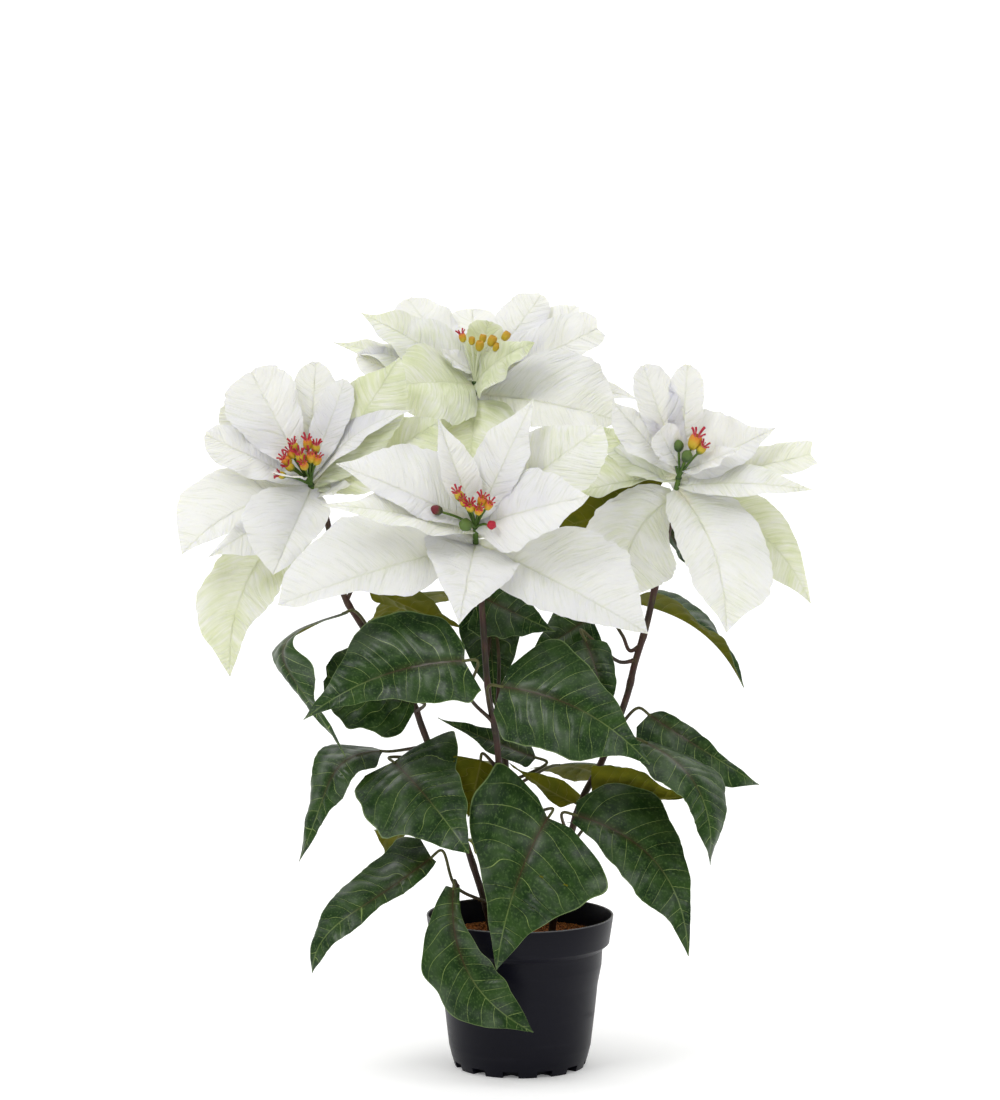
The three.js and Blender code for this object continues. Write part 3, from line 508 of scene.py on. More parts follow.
def sheet_faces(rows, columns):
    """Corner numbers of a closed sheet: upper face, lower face and the rim between them."""
    width = columns + 1
    under = (rows + 1) * width
    corner = np.arange(under).reshape(rows + 1, width)
    a, b, c, d = corner[:-1, :-1], corner[:-1, 1:], corner[1:, 1:], corner[1:, :-1]
    upper = np.stack([a, b, c, d], -1).reshape(-1, 4)
    lower = np.stack([a, d, c, b], -1).reshape(-1, 4) + under
    loop = np.concatenate([corner[0, :-1], corner[:-1, -1], corner[-1, :0:-1], corner[:0:-1, 0]])
    after = np.roll(loop, -1)
    rim = np.stack([loop, loop + under, after + under, after], -1)
    return np.concatenate([upper, lower, rim])


def mesh_object(name, points, faces, finishes):
    """A smooth mesh from arrays of points in metres and of four-cornered faces."""
    data = bpy.data.meshes.new(name)
    data.vertices.add(len(points))
    data.vertices.foreach_set("co", points.astype(np.float32).reshape(-1))
    data.loops.add(faces.size)
    data.loops.foreach_set("vertex_index", faces.astype(np.int32).reshape(-1))
    data.polygons.add(len(faces))
    data.polygons.foreach_set("loop_start", np.arange(0, faces.size, 4, dtype=np.int32))
    data.update(calc_edges=True)
    data.validate()
    data.polygons.foreach_set("use_smooth", np.ones(len(faces), bool))
    for material in finishes:
        data.materials.append(material)
    return placed(name, data)


def store(mesh, key, values):
    """Numbers at the points of a mesh, for its finish to read."""
    layer = mesh.attributes.new(key, "FLOAT", "POINT")
    layer.data.foreach_set("value", np.asarray(values, np.float32))


def settle(piece, slot, *nodes):
    """The calls that every finished piece needs: it rides on the plant and stands for its solids."""
    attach(piece, "root")
    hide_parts(*nodes)
    print(f"{piece.name}: {sum(len(p.vertices) - 2 for p in piece.data.polygons)} triangles")


# %% [markdown]
# ## The flower heads
# A head is a whorl of bracts on a short neck. The rows read: how far down the neck the bract grows, its tip
# measured from the head's centre, the way its upper face looks, its half widths left and right, how green
# it is, and what else sets it apart. A single number for a width means the usual outline at that half
# width. The last rows of a head are at its back.

# %% Head tables
NECK_LENGTH = 28
HEADS = {
    "front": dict(centre=(-28, -62, 362), axis=(0, -0.6, 0.8), bracts=[
        (-24, (-10, -34, -64), (0, -1, 0.35), (2, 6, 22, 30, 28, 20, 12, 5, 0),
         (2, 16, 27, 31, 29, 21, 12, 5, 0), 0.06, dict(bow=9, sweep=(-0.6, -1.1, 0.2))),
        (-24, (107, -10, -73), (0.15, -0.95, 0.35), (3, 10, 26, 36, 40, 38, 27, 12, 0),
         (3, 16, 22, 21, 20, 17, 11, 6, 0), 0.2, dict(bow=10)),
        (-10, (70, -24, 14), (-0.1, -0.9, 0.45), (3, 12, 20, 25, 26, 22, 15, 7, 0),
         (3, 14, 25, 24, 21, 18, 13, 7, 0), 0.05, dict(bow=6)),
        (-9, (79, 10, 55), (-0.3, -0.8, 0.5), (2, 15, 25, 29, 29, 25, 17, 8, 0),
         (2, 12, 22, 27, 30, 30, 26, 17, 0), 0.38, dict(bow=4)),
        (-6, (36, 5, 72), (-0.4, -0.8, 0.2), 20, 16, 0.14, dict(bow=2)),
        (-4, (-23, -2, 60), (0.3, -0.9, 0.3), 13, 12, 0.1, dict(fold=0.25)),
        (-8, (-86, -12, 33), (0.1, -0.9, 0.5), 13, 32, 0.05, dict(bow=5)),
        (-14, (-94, -28, 9), (0, -0.6, 0.8), 17, 17, 0.3, dict(bow=6)),
        (-24, (-122, -20, -54), (-0.1, -0.9, 0.45), (3, 9, 18, 24, 17, 9, 8, 7, 0),
         (3, 14, 30, 39, 39, 35, 27, 17, 0), 0.16, dict(bow=8, puff=0.9)),
        (-14, (-6, 60, 32), (0, -0.3, 0.95), 20, 20, 0.3, dict(bow=4)),
        (-20, (34, 50, 2), (0.1, -0.2, 0.97), 19, 19, 0.15, dict(bow=4)),
        (-20, (-42, 46, 6), (-0.1, -0.2, 0.97), 19, 19, 0.15, dict(bow=4)),
    ]),
    "left": dict(centre=(-136, -12, 384), axis=(-0.35, -0.42, 0.84), bracts=[
        (-4, (-34, 10, 62), (0.1, -0.9, 0.4), (2, 8, 14, 20, 24, 27, 26, 19, 3),
         (2, 4, 8, 13, 17, 20, 21, 17, 4), 0.04),
        (-6, (6, 28, 67), (0, -0.8, 0.5), blunt(14), blunt(14), 0.06),
        (-9, (-52, 14, 40), (0.2, -0.8, 0.5), blunt(15), blunt(14), 0.2),
        (-5, (25, 12, 57), (-0.2, -0.9, 0.3), blunt(11), blunt(12), 0.04),
        (-8, (-62, -6, 24), (0.1, -0.85, 0.5), blunt(15), blunt(14), 0.02, dict(ruffle=2.5, waves=3)),
        (-16, (-76, -28, -49), (-0.3, -0.85, 0.45), (3, 10, 16, 18, 18, 14, 9, 4, 0),
         (3, 12, 19, 27, 31, 32, 26, 12, 0), 0.1, dict(sway=8, bow=8)),
        (-18, (-59, -34, -50), (0, -0.95, 0.3), (6, 12, 16, 19, 20, 17, 11, 4, 0),
         (3, 6, 9, 12, 12, 9, 6, 3, 0), 0.16, dict(bow=6)),
        (-12, (-18, -44, -60), (0.1, -0.97, 0.2), (4, 12, 17, 17, 15, 12, 9, 5, 0),
         (4, 14, 24, 30, 33, 32, 24, 12, 0), 0.05, dict(bow=4, fold=0.2)),
        (-24, (-47, -18, -128), (-0.3, -0.95, 0.2), (4, 18, 22, 22, 23, 18, 10, 6, 0),
         (4, 10, 16, 21, 25, 27, 22, 9, 0), 0.62, dict(sway=18, bow=4)),
        (-8, (67, -12, 40), (-0.3, -0.6, 0.75), 13, 12, 0.03, dict(sway=-9, bow=4)),
        (-3, (-20, -26, 3), (0, -0.3, 0.95), 9, 9, 0.0),
        (-12, (60, 8, 72), (-0.3, -0.85, 0.4), 24, (2, 13, 22, 27, 28, 26, 21, 12, 0), 0.8),
        (-14, (86, 4, 32), (-0.2, -0.8, 0.6), (1, 7, 12, 15, 17, 17, 15, 9, 0),
         (2, 10, 18, 23, 26, 27, 24, 15, 0), 0.75),
        (-16, (30, -12, -6), (0.2, -0.6, 0.8), 9, 9, 0.25),
        (-14, (-8, 60, 28), (0, -0.3, 0.95), 19, 19, 0.35, dict(bow=4)),
        (-20, (-30, 52, -22), (-0.2, -0.1, 0.97), 19, 19, 0.2, dict(bow=4)),
    ]),
    "back": dict(centre=(-29, 60, 445), axis=(0, -0.15, 0.99), bracts=[
        (-12, (-92, 22, 14), (0.1, -0.5, 0.85), 16, 16, 0.45, dict(bow=5)),
        (-8, (-74, 26, 33), (0.3, -0.7, 0.6), 19, 23, 0.5, dict(bow=4)),
        (-8, (-44, 55, 40), (0.2, -0.75, 0.6), blunt(19), blunt(18), 0.2),
        (-6, (-2, 62, 33), (0, -0.6, 0.8), blunt(18), blunt(18), 0.12),
        (-8, (43, 50, 43), (-0.2, -0.75, 0.6), blunt(18), blunt(15), 0.1),
        (-9, (66, 42, 36), (-0.3, -0.5, 0.8), blunt(17), blunt(15), 0.08),
        (-11, (79, 8, 24), (-0.2, -0.75, 0.65), (1, 9, 16, 20, 22, 23, 22, 19, 8),
         (1, 6, 9, 11, 13, 14, 15, 14, 8), 0.14),
        (-18, (92, -26, -33), (-0.1, -0.85, 0.5), (3, 14, 26, 35, 38, 36, 29, 15, 0),
         (3, 9, 18, 20, 19, 17, 14, 9, 0), 0.2, dict(bow=9)),
        (-12, (-56, -48, -10), (0.1, -0.8, 0.6), (2, 18, 29, 34, 34, 32, 27, 17, 0), 28, 0.8, dict(bow=6)),
        (-10, (38, -36, 18), (-0.3, -0.7, 0.65), (3, 9, 12, 12, 11, 9, 7, 4, 0),
         (4, 18, 24, 24, 20, 16, 12, 7, 0), 0.85, dict(bow=6)),
        (-20, (-3, -46, -69), (0, -0.9, 0.4), 29, 29, 0.85, dict(bow=12)),
        (-20, (-76, 8, 6), (0, -0.75, 0.65), blunt(15), blunt(16), 0.04),
        (-22, (110, 14, -24), (0.1, -0.5, 0.85), 18, 16, 0.2, dict(bow=13)),
        (-3, (9, 15, 28), (0, -0.9, 0.3), blunt(12), blunt(12), 0.85),
        (-3, (-22, -8, 13), (0.3, -0.6, 0.7), 8, 8, 0.1),
    ]),
    "right": dict(centre=(102, -5, 389), axis=(0.15, -0.35, 0.92), bracts=[
        (-4, (-24, 6, 61), (0.3, -0.9, 0.2), blunt(13), blunt(15), 0.03),
        (-5, (4, 12, 61), (0, -0.95, 0.2), blunt(11), blunt(12), 0.05),
        (-7, (59, 0, 22), (-0.2, -0.9, 0.4), (1, 14, 27, 31, 27, 18, 9, 4, 0), 14, 0.04),
        (-5, (36, -20, 12), (0, -0.7, 0.7), 9, 9, 0.03, dict(ruffle=2.0)),
        (-13, (82, 6, 5), (0, -0.75, 0.65), (1, 5, 8, 10, 12, 13, 13, 12, 9),
         (1, 5, 8, 10, 11, 12, 12, 11, 8), 0.45),
        (-16, (82, -22, -15), (0, -0.7, 0.7), 14, 13, 0.3, dict(bow=6)),
        (-22, (82, -6, -89), (0.35, -0.85, 0.4), (4, 15, 20, 20, 19, 16, 10, 4, 0),
         (4, 12, 16, 19, 20, 19, 15, 7, 0), 0.7, dict(sway=-15, bow=5)),
        (-18, (27, -40, -103), (0.1, -0.97, 0.2), (5, 17, 28, 31, 33, 33, 28, 11, 0),
         (8, 16, 19, 21, 20, 19, 14, 6, 0), 0.26, dict(sway=-8, bow=10)),
        (-24, (-36, -12, -88), (-0.1, -0.97, 0.2), (3, 10, 18, 28, 32, 32, 25, 12, 0),
         (6, 18, 24, 28, 30, 30, 22, 10, 0), 0.36, dict(sway=12, bow=6)),
        (-8, (-44, -8, 40), (0.2, -0.85, 0.5), (1, 5, 9, 13, 16, 17, 13, 6, 0), 13, 0.04),
        (-9, (-66, 10, -20), (0.1, -0.85, 0.5), (1, 2, 2, 3, 4, 6, 7, 4, 0), 24, 0.72, dict(bow=6)),
        (-12, (-53, 20, 22), (0.2, -0.8, 0.6), 18, 18, 0.8),
        (-2, (-14, -14, 22), (0.2, -0.9, 0.3), blunt(11), blunt(11), 0.0),
        (-14, (8, 60, 26), (0, -0.3, 0.95), 19, 19, 0.25, dict(bow=4)),
        (-20, (28, 52, -24), (0.2, -0.1, 0.97), 19, 19, 0.2, dict(bow=4)),
    ]),
}


def from_centre(head, step):
    return np.array(head["centre"], float) + step


def on_axis(head, distance):
    return from_centre(head, unit(head["axis"]) * distance)


print({side: len(head["bracts"]) for side, head in HEADS.items()}, "bracts")

# %% Bracts of each head
BRACT_GRID = (56, 24)
for number, (side, head) in enumerate(HEADS.items()):
    sheets = Sheets()
    for row, (place, tip, face, left, right, green, *more) in enumerate(head["bracts"]):
        base, end = on_axis(head, place), from_centre(head, tip)
        seed = SEED + 40 * number + row
        blade = Blade(base, end, face, left, right, BRACT_KIND, seed, green=green, **dict(*more))
        sheets.add(blade, *BRACT_GRID)
    settle(sheets.build(f"{side}_head_bracts", [BRACT_FINISH]), "bract", f"bracts_{side}")

# %% [markdown]
# ## The leaves
# A leaf's row also says which stem it grows on and where its stalk, the petiole, leaves the stem: a height,
# or a place where the stalk comes out of the soil by itself. `via` gives points that the stalk passes on
# its way, and `under` lowers its end below the blade. Each leaf is a piece of its own.

# %% Leaf table
LEAF_COLUMNS = ("name", "stem", "joint", "base", "tip", "face", "left", "right")
LEAF_ROWS = [
    ("left_folded", "left", 262, (-111, -25, 296), (-110, -45, 207), (-0.85, -0.6, 0.15),
     (3, 5, 10, 18, 17, 7, 3, 2, 0), 19, dict(bow=20, rise=32, fold=-0.3)),
    ("left_large", "front", 228, (-35, -72, 272), (-135, -72, 235), (0, -0.85, 0.5),
     (20, 28, 27, 23, 18, 13, 8, 4, 0), (10, 30, 37, 37, 34, 21, 10, 5, 0),
     dict(via=[(-32, -52, 247)], sway=10, sweep=(-0.6, 0, 0.3))),
    ("left_behind", "left", 230, (-67, -25, 240), (-122, -29, 256), (0, -0.85, 0.5),
     (8, 24, 28, 28, 28, 26, 22, 15, 4), (6, 18, 23, 25, 26, 26, 24, 17, 6)),
    ("under_front_bloom", "left", 300, (-97, 5, 309), (-38, -10, 285), (0, 0.6, 0.8), 14, 32),
    ("neck_front", "front", 226, (-24, -25, 306), (22, -40, 286), (0, -0.85, 0.5), 16, 24,
     dict(via=[(-14, -36, 246), (-16, -24, 285)])),
    ("neck_hanging", "front", 262, (-20, -15, 300), (-16, -25, 236), (0, -1, 0.1), 20, 20,
     dict(via=[(-20, -27, 276)])),
    ("centre_large", "front", 230, (-12, -60, 254), (80, -86, 209), (0, -0.85, 0.5),
     (14, 40, 33, 27, 21, 15, 8, 4, 0), (18, 35, 35, 35, 33, 28, 17, 7, 0),
     dict(sway=-9, bow=6, sweep=(0.2, -0.1, 0.3))),
    ("centre_behind", "right", 262, (41, -25, 279), (56, -42, 225), (0.3, -0.9, 0.3), 14, 22,
     dict(via=[(63, -6, 262)], bow=6)),
    ("centre_back", "right", 270, (45, 5, 290), (5, 10, 262), (0, -0.8, 0.6), 20, 20,
     dict(via=[(70, 2, 268), (65, 3, 278)])),
    ("right_arching", "right", 280, (78, 37, 294), (144, 24, 241), (0.5, 0, 0.86), 24,
     (14, 26, 22, 18, 16, 12, 7, 3, 0), dict(bow=12, fold=0.4)),
    ("right_behind", "right", 213, (82, -5, 228), (152, -12, 184), (0.25, -0.85, 0.5), 9,
     (12, 26, 27, 26, 24, 20, 14, 7, 0)),
    ("right_hanging", "right", 205, (79, -35, 215), (119, -60, 141), (0.6, -0.6, 0.5),
     (6, 18, 27, 31, 30, 25, 16, 7, 0), (10, 18, 21, 20, 16, 14, 10, 5, 0), dict(bow=22, fold=-0.2)),
    ("right_turned", "right", 168, (46, -13, 176), (107, -23, 178), (0, 0.9, 0.4), 8, 26),
    ("middle_turned", "right", 160, (35, -20, 174), (-7, -30, 201), (0, 0.5, 0.85), 14, 12),
    ("middle_narrow", "front", 185, (10, -15, 202), (-52, -25, 229), (0, -0.6, 0.8), 12, 11),
    ("middle_small", "front", 196, (-25, -27, 202), (-33, -42, 168), (0, 0.8, 0.3), 17, 10),
    ("left_middle", "left", 195, (-80, -20, 200), (-32, -85, 153), (-0.2, -0.6, 0.75),
     (16, 43, 35, 27, 23, 19, 12, 6, 0), (20, 34, 36, 38, 37, 27, 17, 9, 0), dict(bow=8)),
    ("front_lowest", "front", 150, (17, -60, 171), (-15, -84, 79), (0, -1, 0.3),
     (16, 44, 52, 47, 35, 24, 14, 7, 0), (12, 44, 48, 38, 25, 15, 9, 4, 0),
     dict(sway=5, bow=8, sweep=(-0.12, -0.75, 0.3), under=2.4)),
    ("left_low", "front", 97, (-56, -50, 144), (-131, -60, 72), (-0.35, -0.75, 0.6),
     (4, 7, 8, 9, 10, 10, 9, 6, 0), (20, 35, 32, 27, 23, 18, 12, 6, 0),
     dict(via=[(-21, -33, 112), (-41, -46, 125)], bow=7, hook=15, fold=-0.25)),
    ("over_pot", "front", (-40, -45, 124.5), (-42, -58, 126), (8, -78, 38), (-0.2, -1, 0.1),
     (4, 5, 9, 13, 16, 17, 14, 8, 0), (5, 12, 20, 26, 23, 24, 15, 5, 0), dict(sway=17, bow=6)),
    ("right_low", "right", 145, (35, -45, 170), (105, -75, 86), (0.3, -0.8, 0.5),
     (10, 30, 36, 28, 21, 13, 7, 3, 0), (6, 12, 20, 24, 26, 23, 14, 7, 0), dict(sway=-20, bow=8)),
    ("left_curled", "left", 208, (-88, 0, 204), (-141, -10, 134), (-0.5, -0.7, 0.5), 15,
     (12, 31, 31, 26, 20, 14, 8, 4, 0), dict(bow=11, rise=17, fold=-0.3)),
    ("under_right_bloom", "right", 345, (86, 24, 365), (25, 12, 346), (0, 0.85, 0.5),
     (8, 24, 23, 22, 20, 17, 14, 9, 0), (1, 17, 16, 15, 13, 10, 8, 5, 0), dict(sweep=(-0.85, -0.2, 0.35))),
    ("right_neck", "right", 335, (94, 18, 345), (118, 27, 311), (0.3, -0.6, 0.7), 14, 8),
    ("back_upper_left", "back", 285, (-45, 50, 300), (-105, 95, 262), (-0.3, 0.4, 0.85), 28, 28,
     dict(bow=8)),
    ("back_upper_right", "back", 300, (10, 60, 315), (50, 110, 265), (0.3, 0.5, 0.8), 28, 28, dict(bow=8)),
    ("back_middle_left", "back", 175, (-30, 45, 190), (-75, 110, 148), (-0.2, 0.5, 0.8), 30, 30,
     dict(bow=10)),
    ("back_middle_right", "back", 172, (25, 42, 188), (78, 102, 148), (0.2, 0.5, 0.8), 30, 30,
     dict(bow=10)),
    ("back_low", "back", 120, (0, 40, 140), (-8, 112, 88), (0, 0.6, 0.8), 32, 32, dict(bow=10)),
    ("back_low_left", "left", 140, (-60, 32, 162), (-88, 98, 112), (-0.4, 0.5, 0.75), 26, 26, dict(bow=8)),
    ("back_low_right", "right", 130, (48, 28, 150), (98, 90, 108), (0.4, 0.5, 0.75), 28, 28, dict(bow=8)),
]
LEAVES = [dict(zip(LEAF_COLUMNS, row), **dict(*row[len(LEAF_COLUMNS):])) for row in LEAF_ROWS]
print(len(LEAVES), "leaves")

# %% Leaf blades
LEAF_GRID = (72, 26)
STALK_WORDS = ("name", "stem", "joint", "via", "under")
blades = {}
for row, leaf in enumerate(LEAVES):
    name = leaf["name"]
    shape = {key: value for key, value in leaf.items() if key not in STALK_WORDS}
    blades[name] = Blade(kind=LEAF_KIND, seed=SEED + 300 + row, **shape)
    sheets = Sheets()
    sheets.add(blades[name], *LEAF_GRID)
    settle(sheets.build(f"blade_{name}", LEAF_FINISHES), "leaf", f"leaf_{name}")

# %% [markdown]
# ## Stems and stalks
# The four stems are woody, dark red-brown and a little knobbly where a stalk leaves them. The stalks are
# thinner and turn olive green towards the leaf. Both follow a route through a few points, so a Geometry
# Nodes tree turns each route into a tube: it is given the route as a curve, and asks for the radius at both
# ends, the swelling at the foot and the number of sides. Colour runs along the tube by a stored number.

# %% Routes
STEMS = {
    "front": (2.2, [(-8, -12, 25), (-8, -12, 83), (-13, -25, 185), (-15, -35, 217), (-20, -42, 246),
                    (-25, -45, 312)]),
    "left": (2.3, [(-18, 2, 25), (-18, 2, 83), (-30, -2, 130), (-63, -8, 222), (-68, -8, 236),
                   (-103, -5, 289), (-112, -5, 305)]),
    "back": (2.4, [(0, 15, 25), (0, 15, 83), (-9, 15, 185), (-12, 40, 250), (-20, 60, 330)]),
    "right": (2.4, [(20, -2, 25), (20, -2, 83), (38, -8, 170), (51, -8, 196), (68, -5, 240), (73, 0, 260),
                    (80, 5, 282), (86, 8, 308)]),
}
NECK_RUN = 8
STALK_RADIUS = 1.15
STALK_DEPTH = 0.4
STALK_LEAD = 8
STALK_OVERLAP = 1.5


def route(points, per_span=10):
    """A smooth curve through the points, spaced by the square root of their distances."""
    p = [np.array(q, float) for q in points]
    p = [2 * p[0] - p[1], *p, 2 * p[-1] - p[-2]]
    curve = []
    for a, b, c, d in zip(p, p[1:], p[2:], p[3:]):
        k0, k1, k2 = (max(np.linalg.norm(v) ** 0.5, 0.01) for v in (b - a, c - b, d - c))
        start = ((b - a) / k0 - (c - a) / (k0 + k1) + (c - b) / k1) * k1
        end = ((c - b) / k1 - (d - b) / (k1 + k2) + (d - c) / k2) * k1
        for s in np.arange(per_span) / per_span:
            curve.append(b + start * s + (3 * (c - b) - 2 * start - end) * s**2
                         + (2 * (b - c) + start + end) * s**3)
    return np.array([*curve, p[-2]])


def stem_route(side):
    head = HEADS[side]
    return route([*STEMS[side][1], on_axis(head, -NECK_LENGTH - NECK_RUN), on_axis(head, -NECK_LENGTH)])


def stalk_route(leaf):
    """From the stem to the base of the leaf's midrib."""
    joint = leaf["joint"]
    curve = stem_route(leaf["stem"])
    start = np.array(joint, float) if isinstance(joint, tuple) else curve[np.argmax(curve[:, 2] >= joint)]
    centre, ahead, normal, _ = blades[leaf["name"]].midrib(np.array([0.0, 0.02]))
    end = centre[0] - normal[0] * (STALK_DEPTH + leaf.get("under", 0))
    before = end - ahead[0] * min(STALK_LEAD, 0.35 * np.linalg.norm(end - start))
    return route([start, *leaf.get("via", []), before, end + ahead[0] * STALK_OVERLAP])


# %% Trees that grow meshes
class Tree:
    """A Geometry Nodes tree with named inputs."""

    def __init__(self, name, **inputs):
        self.group = bpy.data.node_groups.new(name, "GeometryNodeTree")
        face = self.group.interface
        for way in ("INPUT", "OUTPUT"):
            face.new_socket("Geometry", in_out=way, socket_type="NodeSocketGeometry")
        self.identifiers = {}
        for key, kind in inputs.items():
            socket = face.new_socket(key, in_out="INPUT", socket_type="NodeSocket" + kind)
            self.identifiers[key] = socket.identifier
        self.start = self.group.nodes.new("NodeGroupInput")

    def __getitem__(self, key):
        return Wire(self.start.outputs[key])

    def add(self, kind, settings=None, inputs=None, out=0):
        return put(self.group, "GeometryNode" + kind, settings, inputs, out)

    def random(self, kind, inputs, out=0):
        return put(self.group, "FunctionNodeRandomValue", {"data_type": kind}, inputs, out)

    def tube(self, curve, sides, radius):
        """A closed tube along a curve."""
        ring = self.add("CurvePrimitiveCircle", {"mode": "RADIUS"}, {"Resolution": sides, "Radius": 1.0})
        return self.add("CurveToMesh", {}, {
            "Curve": curve, "Profile Curve": ring, "Scale": radius, "Fill Caps": True})

    def round_axis(self, thing, scale=(1, 1, 1)):
        """`count` instances of a thing at `ring` from the upright axis, each facing outwards."""
        circle = self.add("MeshCircle", {}, {"Vertices": self["count"], "Radius": self["ring"]})
        outwards = put(self.group, "FunctionNodeAlignRotationToVector", {"axis": "X"},
                       {"Vector": self.add("InputPosition")})
        return self.add("InstanceOnPoints", {}, {
            "Points": circle, "Instance": thing, "Rotation": outwards, "Scale": scale})

    def finish_with(self, geometry, material):
        real = self.add("RealizeInstances", {}, {"Geometry": geometry})
        painted = self.add("SetMaterial", {}, {"Geometry": real, "Material": material})
        feed(self.group.nodes.new("NodeGroupOutput"), {0: painted})
        print(f"{self.group.name}: {len(self.group.nodes)} geometry nodes")


def grow(carrier, tree, **values):
    """Runs a tree on an object and returns the plain mesh that it makes."""
    modifier = carrier.modifiers.new("grow", "NODES")
    modifier.node_group = tree.group
    for key, value in values.items():
        modifier[tree.identifiers[key]] = value
    bpy.context.view_layer.update()
    graph = bpy.context.evaluated_depsgraph_get()
    mesh = bpy.data.meshes.new_from_object(carrier.evaluated_get(graph))
    carrier.modifiers.remove(modifier)
    return mesh

# %% Wood finish
BARK_RED = (0.055, 0.022, 0.017)
BARK_BROWN = (0.030, 0.017, 0.011)
STALK_OLIVE = (0.085, 0.095, 0.022)


def bark(tree):
    where = object_place(tree)
    young = attribute(tree, "young")
    streaks = noise(stretched(where, (1.0, 1.0, 0.12)), 900.0, 3.0)
    patches = noise(where, 60.0, 2.0)
    colour = blend_colours(band(patches, 0.4, 0.62), BARK_RED, BARK_BROWN)
    colour = blend_colours(band(streaks, 0.5, 0.75) * 0.45, colour, STALK_OLIVE)
    colour = blend_colours(band(young, 0.25, 0.9), colour, STALK_OLIVE)
    return {
        "Base Color": colour,
        "Roughness": 0.55,
        "Normal": bump(streaks, 0.3 * MM),
        "Specular IOR Level": 0.35,
    }


BARK = finish("bark", bark)

# %% Tubes
SWELLING_REACH = 3 * MM
KNOB_SPACING = 31 * MM
tube_tree = Tree("tube along a route", foot="Float", tip="Float", swelling="Float", knobs="Float",
                 sides="Int", young_foot="Float", young_tip="Float")
share, run = tube_tree.add("SplineParameter"), tube_tree.add("SplineParameter", out=1)
plain = share * (tube_tree["tip"] - tube_tree["foot"]) + tube_tree["foot"]
swollen = (run * (-1 / SWELLING_REACH)).math("EXPONENT") * tube_tree["swelling"] + plain
knob = abs((run * (math.pi / KNOB_SPACING)).math("SINE")) ** 24.0
young = share * (tube_tree["young_tip"] - tube_tree["young_foot"]) + tube_tree["young_foot"]
aged = tube_tree.add("StoreNamedAttribute", {"data_type": "FLOAT", "domain": "POINT"},
                     {"Geometry": tube_tree["Geometry"], "Name": "young", "Value": young})
tube_tree.finish_with(tube_tree.tube(aged, tube_tree["sides"], knob * tube_tree["knobs"] + swollen), BARK)


def tube_mesh(points, foot, tip, swelling=0.0, knobs=0.0, sides=10, young=(0.0, 0.0)):
    """A tube along a route of points, thick at the foot and thin at the tip, all in millimetres."""
    data = bpy.data.curves.new("route", "CURVE")
    data.dimensions = "3D"
    spline = data.splines.new("POLY")
    spline.points.add(len(points) - 1)
    for point, place in zip(spline.points, points):
        point.co = (*(place * MM), 1)
    carrier = placed("route", data)
    mesh = grow(carrier, tube_tree, foot=foot * MM, tip=tip * MM, swelling=swelling * MM, knobs=knobs * MM,
                sides=sides, young_foot=young[0], young_tip=young[1])
    bpy.data.objects.remove(carrier)
    return mesh


def joined(name, meshes):
    """One object of several meshes that share their finishes."""
    parts = [placed(name, mesh) for mesh in meshes]
    bpy.ops.object.select_all(action="DESELECT")
    for part in parts:
        part.data.polygons.foreach_set("use_smooth", np.ones(len(part.data.polygons), bool))
        part.select_set(True)
    bpy.context.view_layer.objects.active = parts[0]
    bpy.ops.object.join()
    parts[0].data.name = name
    return parts[0]


STEM_SHAPE = dict(swelling=0.4, knobs=0.35, sides=14, young=(0.0, 0.25))
STALK_SHAPE = dict(foot=1.1 * STALK_RADIUS, tip=0.8 * STALK_RADIUS, swelling=0.7, sides=9, young=(0.2, 0.75))
for side, (thickness, _) in STEMS.items():
    meshes = [tube_mesh(stem_route(side), foot=thickness, tip=0.85 * thickness, **STEM_SHAPE)]
    meshes += [tube_mesh(stalk_route(leaf), **STALK_SHAPE) for leaf in LEAVES if leaf["stem"] == side]
    settle(joined(f"{side}_stem_and_stalks", meshes), "stem", f"stem_{side}")

# %% [markdown]
# ## The true flowers
# In the middle of each head stand the cyathia: small cups on short stalks, yellow-green to orange, with a
# crown of red fingers. Unopened ones are plain green or dark red buds. A cup is turned like a vase; its
# fingers repeat round the rim, so a Geometry Nodes tree sets them there.

# %% Flower finishes
def flesh(colour, tip_colour, low, high):
    """Two colours that change along the flower's own height, which the mesh stores as `along`."""
    def paint(tree):
        where = object_place(tree)
        mottle = noise(where, 700.0, 2.0)
        share = band(attribute(tree, "along") + (mottle - 0.5) * 0.5, low, high)
        return {
            "Base Color": blend_colours(share, colour, tip_colour),
            "Roughness": 0.5,
            "Normal": bump(mottle, 0.2 * MM),
            "Specular IOR Level": 0.3,
        }
    return paint


GREEN, YELLOW, ORANGE = (0.10, 0.17, 0.02), (0.55, 0.40, 0.03), (0.62, 0.20, 0.02)
CRIMSON, PINK, PALE = (0.42, 0.02, 0.04), (0.78, 0.20, 0.24), (0.62, 0.66, 0.46)
FLOWER_FINISHES = {
    "cup": finish("flower cup", flesh(GREEN, YELLOW, 0.1, 0.7)),
    "gold": finish("flower gold", flesh(YELLOW, ORANGE, 0.3, 1.0)),
    "bead": finish("flower bead", flesh(YELLOW, (0.50, 0.27, 0.02), 0.2, 1.0)),
    "bud": finish("flower bud", flesh((0.030, 0.065, 0.014), (0.09, 0.15, 0.03), 0.2, 0.9)),
    "ripe": finish("flower bud dark", flesh((0.05, 0.06, 0.02), (0.14, 0.012, 0.02), 0.4, 0.7)),
    "berry": finish("flower berry", flesh(CRIMSON, (0.38, 0.012, 0.03), 0.2, 0.9)),
    "finger": finish("flower finger", flesh(PINK, CRIMSON, 0.2, 0.9)),
    "pale": finish("flower stalk pale", flesh(PALE, (0.72, 0.75, 0.60), 0.2, 0.9)),
    "stalk": finish("flower stalk", flesh((0.06, 0.12, 0.02), GREEN, 0.2, 0.9)),
}

